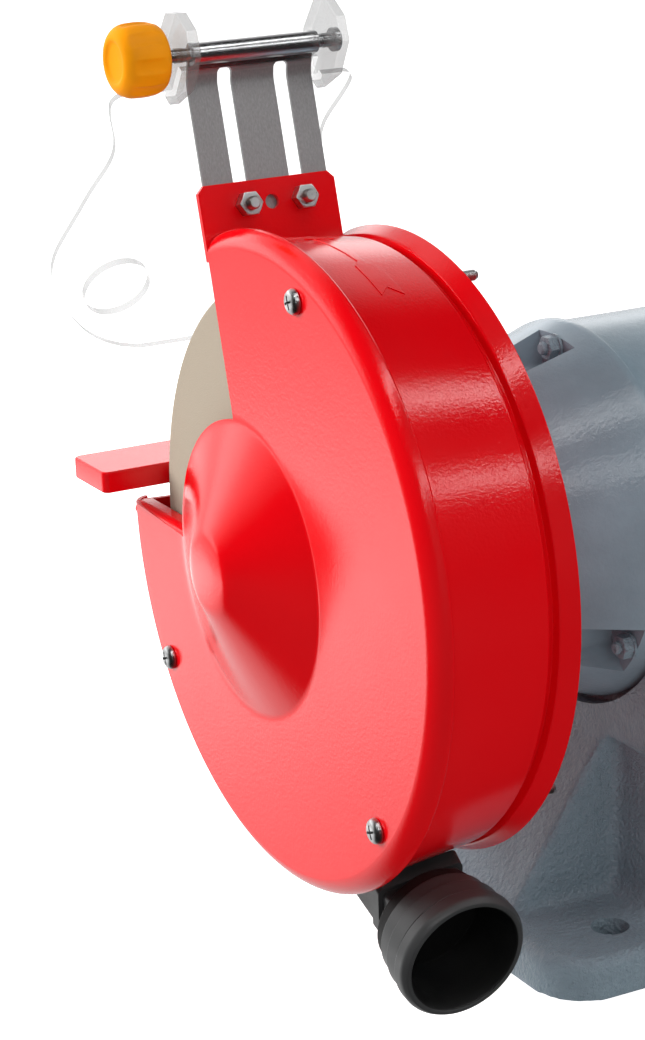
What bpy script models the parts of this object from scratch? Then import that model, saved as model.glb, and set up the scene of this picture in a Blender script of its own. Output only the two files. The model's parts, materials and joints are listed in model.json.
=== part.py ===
"""Double-wheel bench grinder, modelled as separate pieces.

Metres, +Z up, +X to the operator's right, the operator stands at -Y.
The origin is the centre of the base's underside, and the shaft runs along X at SHAFT_Z.
Side pieces are made once for the right-hand end and mirrored to the left.
"""
import math

import bmesh
import bpy
from mathutils import Matrix, Vector

# ---- driving dimensions ----
SHAFT_Z = 0.200            # shaft height over the bench
FACE_X = 0.240             # outer face of the guard cover
COVER_R = 0.149            # guard cover radius
SHEET = 0.002              # guard sheet thickness
RIM_DEPTH = 0.009          # depth of the cover's turned rim
RIM_FILLET = 0.007         # rounding between cover face and rim
BACK_X = 0.1674            # motor-side face of the guard's back plate
GAP = 0.0003               # clearance between touching pieces

WHEEL_R = 0.125
WHEEL_OUT_X = 0.2296       # outer face of the wheel
WHEEL_IN_X = 0.1893        # inner face of the wheel
SPINDLE_R = 0.010

BULGE_Y, BULGE_Z = -0.0194, -0.0060   # centre of the hub bulge's foot, from the shaft
BULGE_R = 0.0678           # radius of the bulge's foot
BULGE_TIP_R = 0.015
BULGE_HEIGHT = 0.030
BULGE_DOME = 0.003          # height of the low dome on the bulge's tip

OPEN_LOW = math.radians(181.7)        # lower end of the guard's opening

BOLT_CIRCLE = 0.132        # cover bolts
BOLT_ANGLES = (73.4, -44.2, -145.6)

LEAN = math.radians(15.0)  # forward lean of the bracket tab and slotted plate
TAB_Y, TAB_Z = -0.0485, 0.1400        # root of the tab, from the shaft
TAB_LOW_X, TAB_HIGH_X = 0.1715, 0.2397
TAB_THICK = 0.0025
TAB_TOP = 0.0225           # height of the tab over its root
PLATE_LOW_X, PLATE_HIGH_X = 0.1734, 0.2352
PLATE_THICK = 0.0015
PLATE_BEND_S = 0.0660      # where the plate starts to turn back towards the rod
SLOT_X = (0.1890, 0.2170)  # centres of the plate's two slots
SLOT_W = 0.0070
TAB_BOLT_S = 0.0120        # height of the tab's bolts over its root
ROD_N, ROD_S = 0.0055, 0.0800         # shield rod, across and along the tab's plane
ROD_R = 0.0030
EYE_R = 0.0050             # outer radius of the plate's rolled eye
EYE_STEPS = 12

SHIELD_TILT = math.radians(34.0)      # eye shield, forward of straight down
SHIELD_THICK = 0.004
SHIELD_X = 0.2087          # middle of the eye shield
PANE_STEPS = 20
PANE_HOLE_X, PANE_HOLE_S, PANE_HOLE_R = 0.2431, 0.1408, 0.0165

REST_TOP = 0.0164          # top of the tool rest, over the shaft
REST_THICK = 0.0105
REST_BACK_Y, REST_FRONT_Y = -0.1281, -0.1654
REST_LOW_X, REST_HIGH_X = 0.1588, 0.2616
REST_BOLT_Y, REST_BOLT_Z = -0.1120, -0.0260

OUTLET_X = 0.2042          # middle of the dust outlet
OUTLET_DROP = math.radians(13.0)      # outlet points rearward and this much down
OUTLET_ROLL = math.radians(6.5)       # adaptor's turn about its own direction, as the band is conical
ADAPTOR_V = -0.1222        # middle of the flat adaptor, across the outlet's direction, from the shaft
ADAPTOR_CLEAR_R = 0.1285   # the adaptor's inner end follows this circle round the wheel
ADAPTOR_END = 0.1031       # end of the adaptor, along the outlet's direction
PASSAGE = (0.0170, -0.0085, 0.0070)   # the adaptor's passage: half width, low, high
SPIGOT_V = -0.1293         # axis of the round spigot, across the outlet's direction
SPIGOT_LENGTH = 0.0340
SPIGOT_R = 0.0306

MOTOR_R = 0.0870           # motor housing
HOUSING_X = 0.0790         # half length of the motor housing
BELL_R = 0.0890
BELL_RIM_X = 0.0824        # where the end bell's cone starts
BELL_END_X = 0.1665        # guard-side face of the end bell
BELL_END_R = 0.0593
TIE_R = 0.0805             # circle of the motor's tie bolts
TIE_ANGLES = (85.0, -35.0, -155.0)
POCKET_X = 0.0925          # floor of the tie bolts' pockets
BEARING_X = 0.1310         # inner end of the bearing seat
BEARING_W = 0.0150
BEARING_R = 0.0260

FOOT_X, FOOT_Y = 0.1505, 0.0980       # half sizes of the foot
FOOT_Z = 0.0200
FOOT_CORNER = 0.0280
FOOT_HOLE_X, FOOT_HOLE_Y = 0.1060, 0.0680
COLUMN_X, COLUMN_Y = 0.0806, 0.0720   # half sizes of the column
SADDLE_X, SADDLE_Y = 0.0865, 0.0780   # half sizes of the motor seat
SADDLE_LOW_Z, SADDLE_TOP_Z = 0.0990, 0.1520
RIB_Y = 0.0340             # half width of the ribs at both ends of the column
RIB_FOOT_X = 0.1400

SWITCH_Z = 0.0640          # middle of the switch box
SWITCH_HALF_X, SWITCH_HALF_Z = 0.0400, 0.0260
SWITCH_DEPTH = 0.0280
GLAND_X, GLAND_Z = -0.0400, 0.0450     # cable inlet on the rear of the column
CAPACITOR_Z = 0.0202

FINE, MID, COARSE = 40, 20, 10        # steps round large, middle and small circles
SHAFT_STEPS = 16           # steps round the shaft, tie bolts and foot holes
MERGE = 2e-6               # points closer than this are one

RED = ((0.72, 0.010, 0.016), 0.28, 0.0)
GREY_PAINT = ((0.17, 0.21, 0.24), 0.45, 0.0)
STEEL = ((0.55, 0.56, 0.57), 0.32, 1.0)
ZINC = ((0.60, 0.61, 0.62), 0.35, 1.0)
ABRASIVE = ((0.42, 0.37, 0.28), 0.95, 0.0)
RUBBER = ((0.022, 0.022, 0.022), 0.55, 0.0)
CLEAR = ((0.92, 0.95, 0.95), 0.06, 0.0)
ORANGE = ((0.86, 0.30, 0.0), 0.35, 0.0)
COPPER = ((0.55, 0.23, 0.10), 0.40, 1.0)
IRON = ((0.20, 0.20, 0.21), 0.55, 1.0)
BLACK = ((0.02, 0.02, 0.02), 0.45, 0.0)
GREEN = ((0.01, 0.28, 0.06), 0.35, 0.0)


# ---- making meshes ----
def angles_round(steps):
    return [2.0 * math.pi * k / steps for k in range(steps)]


def stack(rings, closed=False):
    """Join rings of points with faces, capping both ends unless the stack closes on itself."""
    bm = bmesh.new()
    loops = [[bm.verts.new(point) for point in ring] for ring in rings]
    count = len(loops)
    for low in range(count if closed else count - 1):
        ring, above = loops[low], loops[(low + 1) % count]
        steps = max(len(ring), len(above))
        if steps == 1:
            continue
        for k in range(steps):
            nxt = (k + 1) % steps
            corners = [ring[k % len(ring)], ring[nxt % len(ring)],
                       above[nxt % len(above)], above[k % len(above)]]
            face = [v for i, v in enumerate(corners) if v not in corners[:i]]
            bm.faces.new(face)
    if not closed:
        for cap in (loops[0], loops[-1]):
            if len(cap) > 2:
                bm.faces.new(cap)
    bmesh.ops.recalc_face_normals(bm, faces=bm.faces)
    return bm


def lathe(profile, steps, y=0.0, z=SHAFT_Z, closed=True):
    """Turn (x, radius) points about a line along X through (y, z)."""
    rings = []
    for x, radius in profile:
        if radius < 1e-6:
            rings.append([(x, y, z)])
        else:
            rings.append([(x, y + radius * math.cos(a), z + radius * math.sin(a))
                          for a in angles_round(steps)])
    on_axis = profile[0][1] < 1e-6 and profile[-1][1] < 1e-6
    return stack(rings, closed=closed and not on_axis)


def round_holes(places, x_low, x_high, steps=COARSE):
    """Cylinders along X at each (y, z, radius)."""
    return [lathe([(x_low, 0.0), (x_low, r), (x_high, r), (x_high, 0.0)], steps, y, z) for y, z, r in places]


def prism(outline, low, high, along="X"):
    """Extrude a closed outline; its points are the other two axes in X, Y, Z order."""
    def place(level, a, b):
        return {"X": (level, a, b), "Y": (a, level, b), "Z": (a, b, level)}[along]
    return stack([[place(level, a, b) for a, b in outline] for level in (low, high)])


def box(low, high):
    corners = [(low[0], low[1]), (high[0], low[1]), (high[0], high[1]), (low[0], high[1])]
    return prism(corners, low[2], high[2], "Z")


def rounded_rectangle(half_a, half_b, corner, steps=7):
    points = []
    for quarter, (sa, sb) in enumerate(((1, 1), (-1, 1), (-1, -1), (1, -1))):
        for k in range(steps):
            angle = math.pi / 2 * (quarter + k / (steps - 1))
            points.append((sa * (half_a - corner) + corner * math.cos(angle),
                           sb * (half_b - corner) + corner * math.sin(angle)))
    return points


def hexagon(x_low, x_high, across_flats, y=0.0, z=0.0):
    """A chamfered hexagonal prism along X."""
    radius = across_flats / math.sqrt(3.0)
    edge = 0.10 * radius
    return lathe([(x_low, 0.0), (x_low, radius - edge), (x_low + 0.6 * edge, radius),
                  (x_high - 0.6 * edge, radius), (x_high, radius - edge), (x_high, 0.0)], 6, y, z)


def make(name, bm, finish, sharp=35.0):
    mesh = bpy.data.meshes.new(name)
    bm.to_mesh(mesh)
    bm.free()
    obj = bpy.data.objects.new(name, mesh)
    bpy.context.scene.collection.objects.link(obj)
    colour, rough, metal = finish
    material = bpy.data.materials.new(name + "_finish")
    material.use_nodes = True
    shader = material.node_tree.nodes["Principled BSDF"]
    shader.inputs["Base Color"].default_value = (*colour, 1.0)
    shader.inputs["Roughness"].default_value = rough
    shader.inputs["Metallic"].default_value = metal
    mesh.materials.append(material)
    shade(mesh, sharp)
    return obj


def shade(mesh, sharp=35.0):
    mesh.shade_smooth()
    mesh.set_sharp_from_angle(angle=math.radians(sharp))


def tidy_mesh(mesh):
    """Merge coincident points and drop faces without area, which a Boolean can leave behind."""
    bm = bmesh.new()
    bm.from_mesh(mesh)
    bmesh.ops.remove_doubles(bm, verts=bm.verts, dist=MERGE)
    bmesh.ops.dissolve_degenerate(bm, edges=bm.edges, dist=MERGE)
    bmesh.ops.dissolve_limit(bm, angle_limit=math.radians(0.2), verts=bm.verts, edges=bm.edges)
    bm.to_mesh(mesh)
    bm.free()


def combine(obj, bm, operation):
    """Apply one EXACT Boolean with a temporary solid."""
    mesh = bpy.data.meshes.new("tool")
    bm.to_mesh(mesh)
    bm.free()
    tool = bpy.data.objects.new("tool", mesh)
    bpy.context.scene.collection.objects.link(tool)
    modifier = obj.modifiers.new("cut", "BOOLEAN")
    modifier.object = tool
    modifier.operation = operation
    modifier.solver = "EXACT"
    bpy.context.view_layer.update()
    evaluated = obj.evaluated_get(bpy.context.evaluated_depsgraph_get())
    result = bpy.data.meshes.new_from_object(evaluated)
    obj.modifiers.clear()
    old = obj.data
    result.name = obj.name
    obj.data = result
    bpy.data.meshes.remove(old)
    bpy.data.objects.remove(tool)
    bpy.data.meshes.remove(mesh)
    tidy_mesh(result)
    shade(result)
    return obj


def gathered(solids):
    """One mesh of solids that don't touch each other."""
    whole = solids[0]
    for bm in solids[1:]:
        mesh = bpy.data.meshes.new("part_of_tool")
        bm.to_mesh(mesh)
        bm.free()
        whole.from_mesh(mesh)
        bpy.data.meshes.remove(mesh)
    return whole


def cut(obj, *solids):
    return combine(obj, gathered(solids), "DIFFERENCE")


def join(obj, *solids):
    return combine(obj, gathered(solids), "UNION")


def moved(bm, matrix):
    bm.transform(matrix)
    return bm


def pivot(obj, point):
    """Put the object's origin on its joint, leaving the piece where it is."""
    obj.data.transform(Matrix.Translation(-Vector(point)))
    obj.location = point
    return obj


def both_sides(obj):
    """Name the finished piece for the right-hand end and mirror it to the left."""
    name = obj.name
    mesh = obj.data.copy()
    mesh.transform(Matrix.Scale(-1.0, 4, (1, 0, 0)))
    mesh.flip_normals()
    shade(mesh)
    left = bpy.data.objects.new("left_" + name, mesh)
    bpy.context.scene.collection.objects.link(left)
    left.location = (-obj.location.x, obj.location.y, obj.location.z)
    mesh.name = left.name
    obj.name = "right_" + name
    obj.data.name = obj.name
    return obj, left


# ---- places shared by several pieces ----
def tab_point(n, s, x=0.0):
    """A point n behind the tab's rear face and s above its root."""
    y = TAB_Y - s * math.sin(LEAN) + n * math.cos(LEAN)
    z = TAB_Z + s * math.cos(LEAN) + n * math.sin(LEAN)
    return Vector((x, y, SHAFT_Z + z))


def tab_prism(outline, x_low, x_high):
    """Extrude an outline of (n, s) points along X."""
    points = [tab_point(n, s) for n, s in outline]
    return prism([(p.y, p.z) for p in points], x_low, x_high)


def tab_matrix(x, s):
    """Turns a solid made along X so that +X points forward, square to the tab."""
    turn = Matrix.Rotation(math.radians(-90.0), 4, "Z")
    lean = Matrix.Rotation(LEAN, 4, "X")
    return Matrix.Translation(tab_point(0.0, s, x)) @ lean @ turn


def outlet_matrix(v, roll=0.0):
    """Turns a solid made along X so that +X follows the dust outlet, v above the shaft."""
    turn = Matrix.Rotation(math.radians(90.0), 4, "Z")
    drop = Matrix.Rotation(-OUTLET_DROP, 4, "X")
    place = Matrix.Translation((OUTLET_X, v * math.sin(OUTLET_DROP), SHAFT_Z + v * math.cos(OUTLET_DROP)))
    return place @ drop @ turn @ Matrix.Rotation(roll, 4, "X")


def adaptor_loft(sections):
    """Rounded rectangles (along, half width, low, high) stacked along the outlet's direction."""
    rings = []
    for along, half_x, low, high in sections:
        middle = (low + high) / 2
        outline = rounded_rectangle(half_x, (high - low) / 2, 0.003, 3)
        rings.append([(along, a, b + middle) for a, b in outline])
    return moved(stack(rings), outlet_matrix(ADAPTOR_V, OUTLET_ROLL))


def on_circle(radius, degrees):
    a = math.radians(degrees)
    return radius * math.cos(a), SHAFT_Z + radius * math.sin(a)


def opening_prism(inner_y, inner_z, inner_r, shift, x_low, x_high):
    """The guard's open quarter: straight upper and lower edges and a round inner edge."""
    far = 2.0 * COVER_R
    top = tab_point(shift, 0.0)
    top_out = tab_point(shift, far)
    low_z = COVER_R * math.sin(OPEN_LOW)
    start = math.atan2(0.0690 - inner_z, -0.0290 + shift - inner_y)
    end = math.atan2(low_z - 0.004 - inner_z, -inner_r) + 2.0 * math.pi
    outline = [(top_out.y - far, top_out.z), (top_out.y, top_out.z), (top.y, top.z)]
    for k in range(13):
        a = start + (end - start) * k / 12
        outline.append((inner_y + inner_r * math.cos(a), SHAFT_Z + inner_z + inner_r * math.sin(a)))
    outline.append((-COVER_R, SHAFT_Z + low_z))
    outline.append((-far, SHAFT_Z + low_z))
    return prism(outline, x_low, x_high)


# ---- pieces at each end ----
def dish_profile(inset, depth):
    """Half section of the cover's dish; inset moves it inward by a sheet thickness."""
    face, radius, corner = FACE_X - inset, COVER_R - inset, RIM_FILLET - inset
    points = [(face, 0.0)]
    steps = 4 if inset == 0.0 else 2
    for k in range(steps + 1):
        a = math.pi / 2 * k / steps
        points.append((face - corner + corner * math.cos(a), radius - corner + corner * math.sin(a)))
    points += [(FACE_X - depth, radius), (FACE_X - depth, 0.0)]
    return points


def bulge(inset):
    """The slanting hub bulge, whose tip is on the shaft's axis."""
    rings = []
    cone = BULGE_HEIGHT - BULGE_DOME
    levels = [(-0.0015, 0.0), (0.0, 0.0), (0.25, 0.25), (0.5, 0.5), (0.75, 0.75), (1.0, 1.0)]
    for level, blend in levels:
        x = FACE_X - inset + (cone * level if level > 0 else level)
        radius = BULGE_R - inset + (BULGE_TIP_R - BULGE_R) * blend
        centre = (BULGE_Y * (1 - blend), SHAFT_Z + BULGE_Z * (1 - blend))
        rings.append([(x, centre[0] + radius * math.cos(a), centre[1] + radius * math.sin(a))
                      for a in angles_round(MID)])
    for k in (1, 2, 3):
        a = math.pi / 2 * k / 4
        x = FACE_X - inset + cone + BULGE_DOME * math.sin(a)
        radius = (BULGE_TIP_R - inset) * math.cos(a)
        rings.append([(x, radius * math.cos(b), SHAFT_Z + radius * math.sin(b)) for b in angles_round(MID)])
    rings.append([(FACE_X - inset + BULGE_HEIGHT, 0.0, SHAFT_Z)])
    return stack(rings)


def guard_cover():
    obj = make("guard_cover", lathe(dish_profile(0.0, RIM_DEPTH), FINE), RED)
    join(obj, bulge(0.0))
    cut(obj, lathe(dish_profile(SHEET, RIM_DEPTH + 0.001), FINE))
    cut(obj, bulge(SHEET))
    cut(obj, opening_prism(BULGE_Y, BULGE_Z, BULGE_R, 0.0005, FACE_X - 0.02, FACE_X + 0.04))
    holes = [on_circle(BOLT_CIRCLE, degrees) + (0.0029,) for degrees in BOLT_ANGLES]
    cut(obj, *round_holes(holes, FACE_X - 0.005, FACE_X + 0.003))
    both_sides(obj)


def guard_body():
    profile = [(0.2345, 0.1450), (0.1800, 0.1392), (0.1794, 0.1372), (0.1770, 0.1372), (0.1764, 0.1392),
               (BACK_X, 0.1432), (BACK_X, 0.0200), (BACK_X + SHEET, 0.0200), (BACK_X + SHEET, 0.1395),
               (0.1755, 0.1352), (0.1812, 0.1352), (0.1818, 0.1370), (0.2345, 0.1430)]
    obj = make("guard_body", lathe(profile, FINE), RED)
    inside = [(0.1720, 0.0), (0.1720, 0.1335), (0.1822, 0.1335), (0.2400, 0.1412), (0.2400, 0.0)]
    cut(obj, lathe(inside, FINE))
    cut(obj, adaptor_loft([(0.0350, 0.0219, -0.0060, 0.0216), (0.1300, 0.0219, -0.0210, 0.0216)]))
    cut(obj, opening_prism(0.0, 0.0, 0.0920, -0.0008, BACK_X - 0.01, FACE_X + 0.01))
    tab = [(-TAB_THICK, -0.0110), (0.0, -0.0110), (0.0, TAB_TOP), (-TAB_THICK, TAB_TOP)]
    join(obj, tab_prism(tab, TAB_LOW_X, TAB_HIGH_X))
    tab_holes = []
    for x in SLOT_X + (0.2042,):
        hole = round_holes([(0.0, 0.0, 0.0033)], -0.006, 0.006)[0]
        tab_holes.append(moved(hole, tab_matrix(x, TAB_BOLT_S)))
    cut(obj, *tab_holes)
    holes = [on_circle(BOLT_CIRCLE, degrees) + (0.0029,) for degrees in BOLT_ANGLES]
    holes.append((REST_BOLT_Y, SHAFT_Z + REST_BOLT_Z, 0.0043))
    cut(obj, *round_holes(holes, BACK_X - 0.004, BACK_X + 0.005))
    both_sides(obj)


def cover_bolts():
    for number, degrees in enumerate(BOLT_ANGLES, 1):
        y, z = on_circle(BOLT_CIRCLE, degrees)
        head = FACE_X + GAP
        profile = [(head + 0.0034, 0.0), (head + 0.0034, 0.0030), (head + 0.0022, 0.0052), (head, 0.0058),
                   (head, 0.0025), (0.1520, 0.0025), (0.1520, 0.0)]
        obj = make("cover_bolt_%d" % number, lathe(profile, COARSE, y, z), ZINC)
        join(obj, hexagon(0.1620, BACK_X - GAP, 0.0098, y, z))
        both_sides(obj)


def wheel():
    edge = 0.0012
    bore = SPINDLE_R + GAP
    profile = [(WHEEL_OUT_X, bore), (WHEEL_OUT_X, WHEEL_R - edge), (WHEEL_OUT_X - edge, WHEEL_R),
               (WHEEL_IN_X + edge, WHEEL_R), (WHEEL_IN_X, WHEEL_R - edge), (WHEEL_IN_X, bore)]
    both_sides(make("wheel", lathe(profile, FINE), ABRASIVE))


def flanges():
    bore = SPINDLE_R + GAP
    inner = [(WHEEL_IN_X - GAP, bore), (WHEEL_IN_X - GAP, 0.0420), (WHEEL_IN_X - 0.0030, 0.0420),
             (WHEEL_IN_X - 0.0065, 0.0260), (WHEEL_IN_X - 0.0110, 0.0200), (WHEEL_IN_X - 0.0110, bore)]
    both_sides(make("inner_flange", lathe(inner, MID), STEEL))
    outer = [(WHEEL_OUT_X + GAP, bore), (WHEEL_OUT_X + GAP, 0.0420), (WHEEL_OUT_X + 0.0025, 0.0420),
             (WHEEL_OUT_X + 0.0060, 0.0240), (WHEEL_OUT_X + 0.0060, bore)]
    both_sides(make("outer_flange", lathe(outer, MID), STEEL))


def spindle_nut():
    low = WHEEL_OUT_X + 0.0060 + GAP
    obj = make("spindle_nut", hexagon(low, low + 0.0130, 0.0300, 0.0, SHAFT_Z), ZINC)
    cut(obj, *round_holes([(0.0, SHAFT_Z, SPINDLE_R + GAP)], low - 0.002, low + 0.020, MID))
    both_sides(obj)


def tool_rest():
    middle_x, half_x = (REST_LOW_X + REST_HIGH_X) / 2, (REST_HIGH_X - REST_LOW_X) / 2
    middle_y, half_y = (REST_BACK_Y + REST_FRONT_Y) / 2, (REST_BACK_Y - REST_FRONT_Y) / 2
    top = SHAFT_Z + REST_TOP
    rings = []
    for z, inset in ((top - REST_THICK, 0.0008), (top - REST_THICK + 0.0008, 0.0), (top - 0.0008, 0.0),
                     (top, 0.0008)):
        outline = rounded_rectangle(half_x - inset, half_y - inset, 0.0035, 4)
        rings.append([(middle_x + a, middle_y + b, z) for a, b in outline])
    right, left = both_sides(make("tool_rest", stack(rings), RED))
    for obj in (right, left):
        pivot(obj, (obj.data.vertices[0].co.x, REST_BACK_Y, top - REST_THICK))


def rest_arm():
    """Slotted arm under the rest, on the motor side of the back plate."""
    x_high = BACK_X - GAP
    x_low = x_high - 0.0055
    under = SHAFT_Z + REST_TOP - REST_THICK - GAP
    z = SHAFT_Z + REST_BOLT_Z
    outline = [(REST_FRONT_Y + 0.006, under), (REST_FRONT_Y + 0.006, under - 0.006), (-0.1420, z - 0.0130),
               (-0.0900, z - 0.0130), (-0.0840, z - 0.0070), (-0.0840, z + 0.0070), (-0.0900, z + 0.0130),
               (-0.1240, z + 0.0130), (-0.1320, z + 0.0220), (-0.1320, under)]
    obj = make("rest_arm", prism(outline, x_low, x_high), RED)
    slot = []
    for centre, start in ((-0.0960, -90.0), (REST_BOLT_Y - 0.0022, 90.0)):
        for k in range(9):
            a = math.radians(start + 180.0 * k / 8)
            slot.append((centre + 0.0045 * math.cos(a), z + 0.0045 * math.sin(a)))
    cut(obj, prism(slot, x_low - 0.002, x_high + 0.002))
    for piece in both_sides(obj):
        pivot(piece, (math.copysign(x_low, piece.data.vertices[0].co.x), REST_BACK_Y, under))


def rest_bolt():
    y, z = REST_BOLT_Y, SHAFT_Z + REST_BOLT_Z
    face = BACK_X - 2 * GAP - 0.0055
    profile = [(face - 0.0016, 0.0), (face - 0.0016, 0.0085), (face, 0.0085), (face, 0.0039),
               (BACK_X + 0.0110, 0.0039), (BACK_X + 0.0110, 0.0)]
    obj = make("rest_bolt", lathe(profile, COARSE, y, z), ZINC)
    join(obj, hexagon(face - 0.0070, face - 0.0012, 0.0130, y, z))
    join(obj, hexagon(BACK_X + SHEET + GAP, BACK_X + SHEET + 0.0065, 0.0130, y, z))
    both_sides(obj)


def slotted_plate():
    """Spark plate: flat, two slots, its top turned back and rolled round the shield rod."""
    half = PLATE_THICK / 2
    flat_n = -TAB_THICK - GAP - half
    eye_r = EYE_R - half
    path = [(flat_n, 0.0040), (flat_n, PLATE_BEND_S)]
    reach = ROD_N - eye_r - flat_n
    for k in range(1, 5):
        t = k / 5
        path.append((flat_n + reach * (3 * t * t - 2 * t ** 3), PLATE_BEND_S + (ROD_S - PLATE_BEND_S) * t))
    for k in range(EYE_STEPS + 1):
        a = math.pi - math.radians(300.0) * k / EYE_STEPS
        path.append((ROD_N + eye_r * math.cos(a), ROD_S + eye_r * math.sin(a)))
    left, right = [], []
    for k, (n, s) in enumerate(path):
        before, after = path[max(k - 1, 0)], path[min(k + 1, len(path) - 1)]
        dn, ds = after[0] - before[0], after[1] - before[1]
        length = math.hypot(dn, ds)
        left.append((n - half * ds / length, s + half * dn / length))
        right.append((n + half * ds / length, s - half * dn / length))
    obj = make("slotted_plate", tab_prism(left + right[::-1], PLATE_LOW_X, PLATE_HIGH_X), STEEL)
    for x in SLOT_X:
        slot = box((x - SLOT_W / 2, -0.010, 0.0085), (x + SLOT_W / 2, 0.0, 0.0735))
        turn = Matrix.Translation(tab_point(0.0, 0.0)) @ Matrix.Rotation(LEAN, 4, "X")
        cut(obj, moved(slot, turn))
    for piece in both_sides(obj):
        pivot(piece, tab_point(flat_n, 0.0))


def plate_bolts():
    """Hex bolts holding the slotted plate on the tab, their nuts on the rear face."""
    for number, x in enumerate(SLOT_X, 1):
        front = TAB_THICK + PLATE_THICK + 2 * GAP
        profile = [(-0.0095, 0.0), (-0.0095, 0.0030), (front, 0.0030), (front, 0.0060),
                   (front + 0.0012, 0.0060), (front + 0.0012, 0.0)]
        obj = make("plate_bolt_%d" % number, lathe(profile, COARSE, 0.0, 0.0), ZINC)
        join(obj, hexagon(front + 0.0010, front + 0.0050, 0.0100), hexagon(-0.0060, -GAP, 0.0100))
        obj.data.transform(tab_matrix(x, TAB_BOLT_S))
        both_sides(obj)


def shield_rod():
    axis = tab_point(ROD_N, ROD_S)
    profile = [(0.1620, 0.0), (0.1620, 0.0055), (0.1650, 0.0055), (0.1650, ROD_R), (0.2640, ROD_R),
               (0.2640, 0.0)]
    for piece in both_sides(make("shield_rod", lathe(profile, COARSE, axis.y, axis.z), STEEL)):
        pivot(piece, (0.0, axis.y, axis.z))


def shield_knob():
    """Round knob with six soft lobes, bored for the rod."""
    axis = tab_point(ROD_N, ROD_S)
    levels = [(0.2500, 0.0135), (0.2515, 0.0152), (0.2560, 0.0163), (0.2650, 0.0160), (0.2700, 0.0148),
              (0.2722, 0.0125)]
    rings = []
    for x, radius in levels:
        ring = []
        for a in angles_round(MID):
            r = radius * (1.0 + 0.025 * math.cos(6 * a))
            ring.append((x, axis.y + r * math.cos(a), axis.z + r * math.sin(a)))
        rings.append(ring)
    obj = make("shield_knob", stack(rings), ORANGE)
    cut(obj, *round_holes([(axis.y, axis.z, ROD_R + GAP)], 0.2480, 0.2645))
    for piece in both_sides(obj):
        pivot(piece, (math.copysign(0.2500, piece.data.vertices[0].co.x), axis.y, axis.z))


def shield_half_width(s):
    """Half width of the clear pane at a distance s below the rod."""
    waist = 0.0615 - 0.0085 * math.exp(-((s - 0.0530) / 0.0200) ** 2)
    lobe = 0.0095 * math.exp(-((s - 0.1180) / 0.0260) ** 2)
    width = waist + lobe
    if s > 0.1280:
        width *= math.sqrt(max(0.0, 1.0 - ((s - 0.1280) / 0.0585) ** 2))
    return width


def eye_shield():
    """Clear pane with a round hole and two hexagonal lugs that turn on the rod."""
    axis = tab_point(ROD_N, ROD_S)
    down = Vector((0.0, -math.sin(SHIELD_TILT), -math.cos(SHIELD_TILT)))
    out = Vector((0.0, -math.cos(SHIELD_TILT), math.sin(SHIELD_TILT)))
    levels = [0.0190 + 0.1660 * k / PANE_STEPS for k in range(PANE_STEPS + 1)]
    side = [(shield_half_width(s), s) for s in levels]
    outline = side + [(-w, s) for w, s in reversed(side)]
    rings = []
    for t in (-SHIELD_THICK / 2, SHIELD_THICK / 2):
        rings.append([tuple(Vector((SHIELD_X + w, axis.y, axis.z)) + down * s + out * t) for w, s in outline])
    obj = make("eye_shield", stack(rings), CLEAR)
    hole = [(PANE_HOLE_X + PANE_HOLE_R * math.cos(a), PANE_HOLE_S + PANE_HOLE_R * math.sin(a))
            for a in angles_round(MID)]
    rings = []
    for t in (-0.01, 0.01):
        rings.append([tuple(Vector((x, axis.y, axis.z)) + down * s + out * t) for x, s in hole])
    cut(obj, stack(rings))
    for x_low, x_high in ((0.1655, 0.1705), (0.2385, 0.2440)):
        lug = []
        for s, t in ((0.0215, -0.0075), (0.0215, 0.0075), (0.0060, 0.0165), (-0.0120, 0.0150),
                     (-0.0190, 0.0060), (-0.0190, -0.0060), (-0.0120, -0.0150), (0.0060, -0.0165)):
            p = axis + down * s + out * t
            lug.append((p.y, p.z))
        join(obj, prism(lug, x_low, x_high))
        cut(obj, *round_holes([(axis.y, axis.z, ROD_R + GAP)], x_low - 0.003, x_high + 0.003))
    for piece in both_sides(obj):
        pivot(piece, (0.0, axis.y, axis.z))


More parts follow.
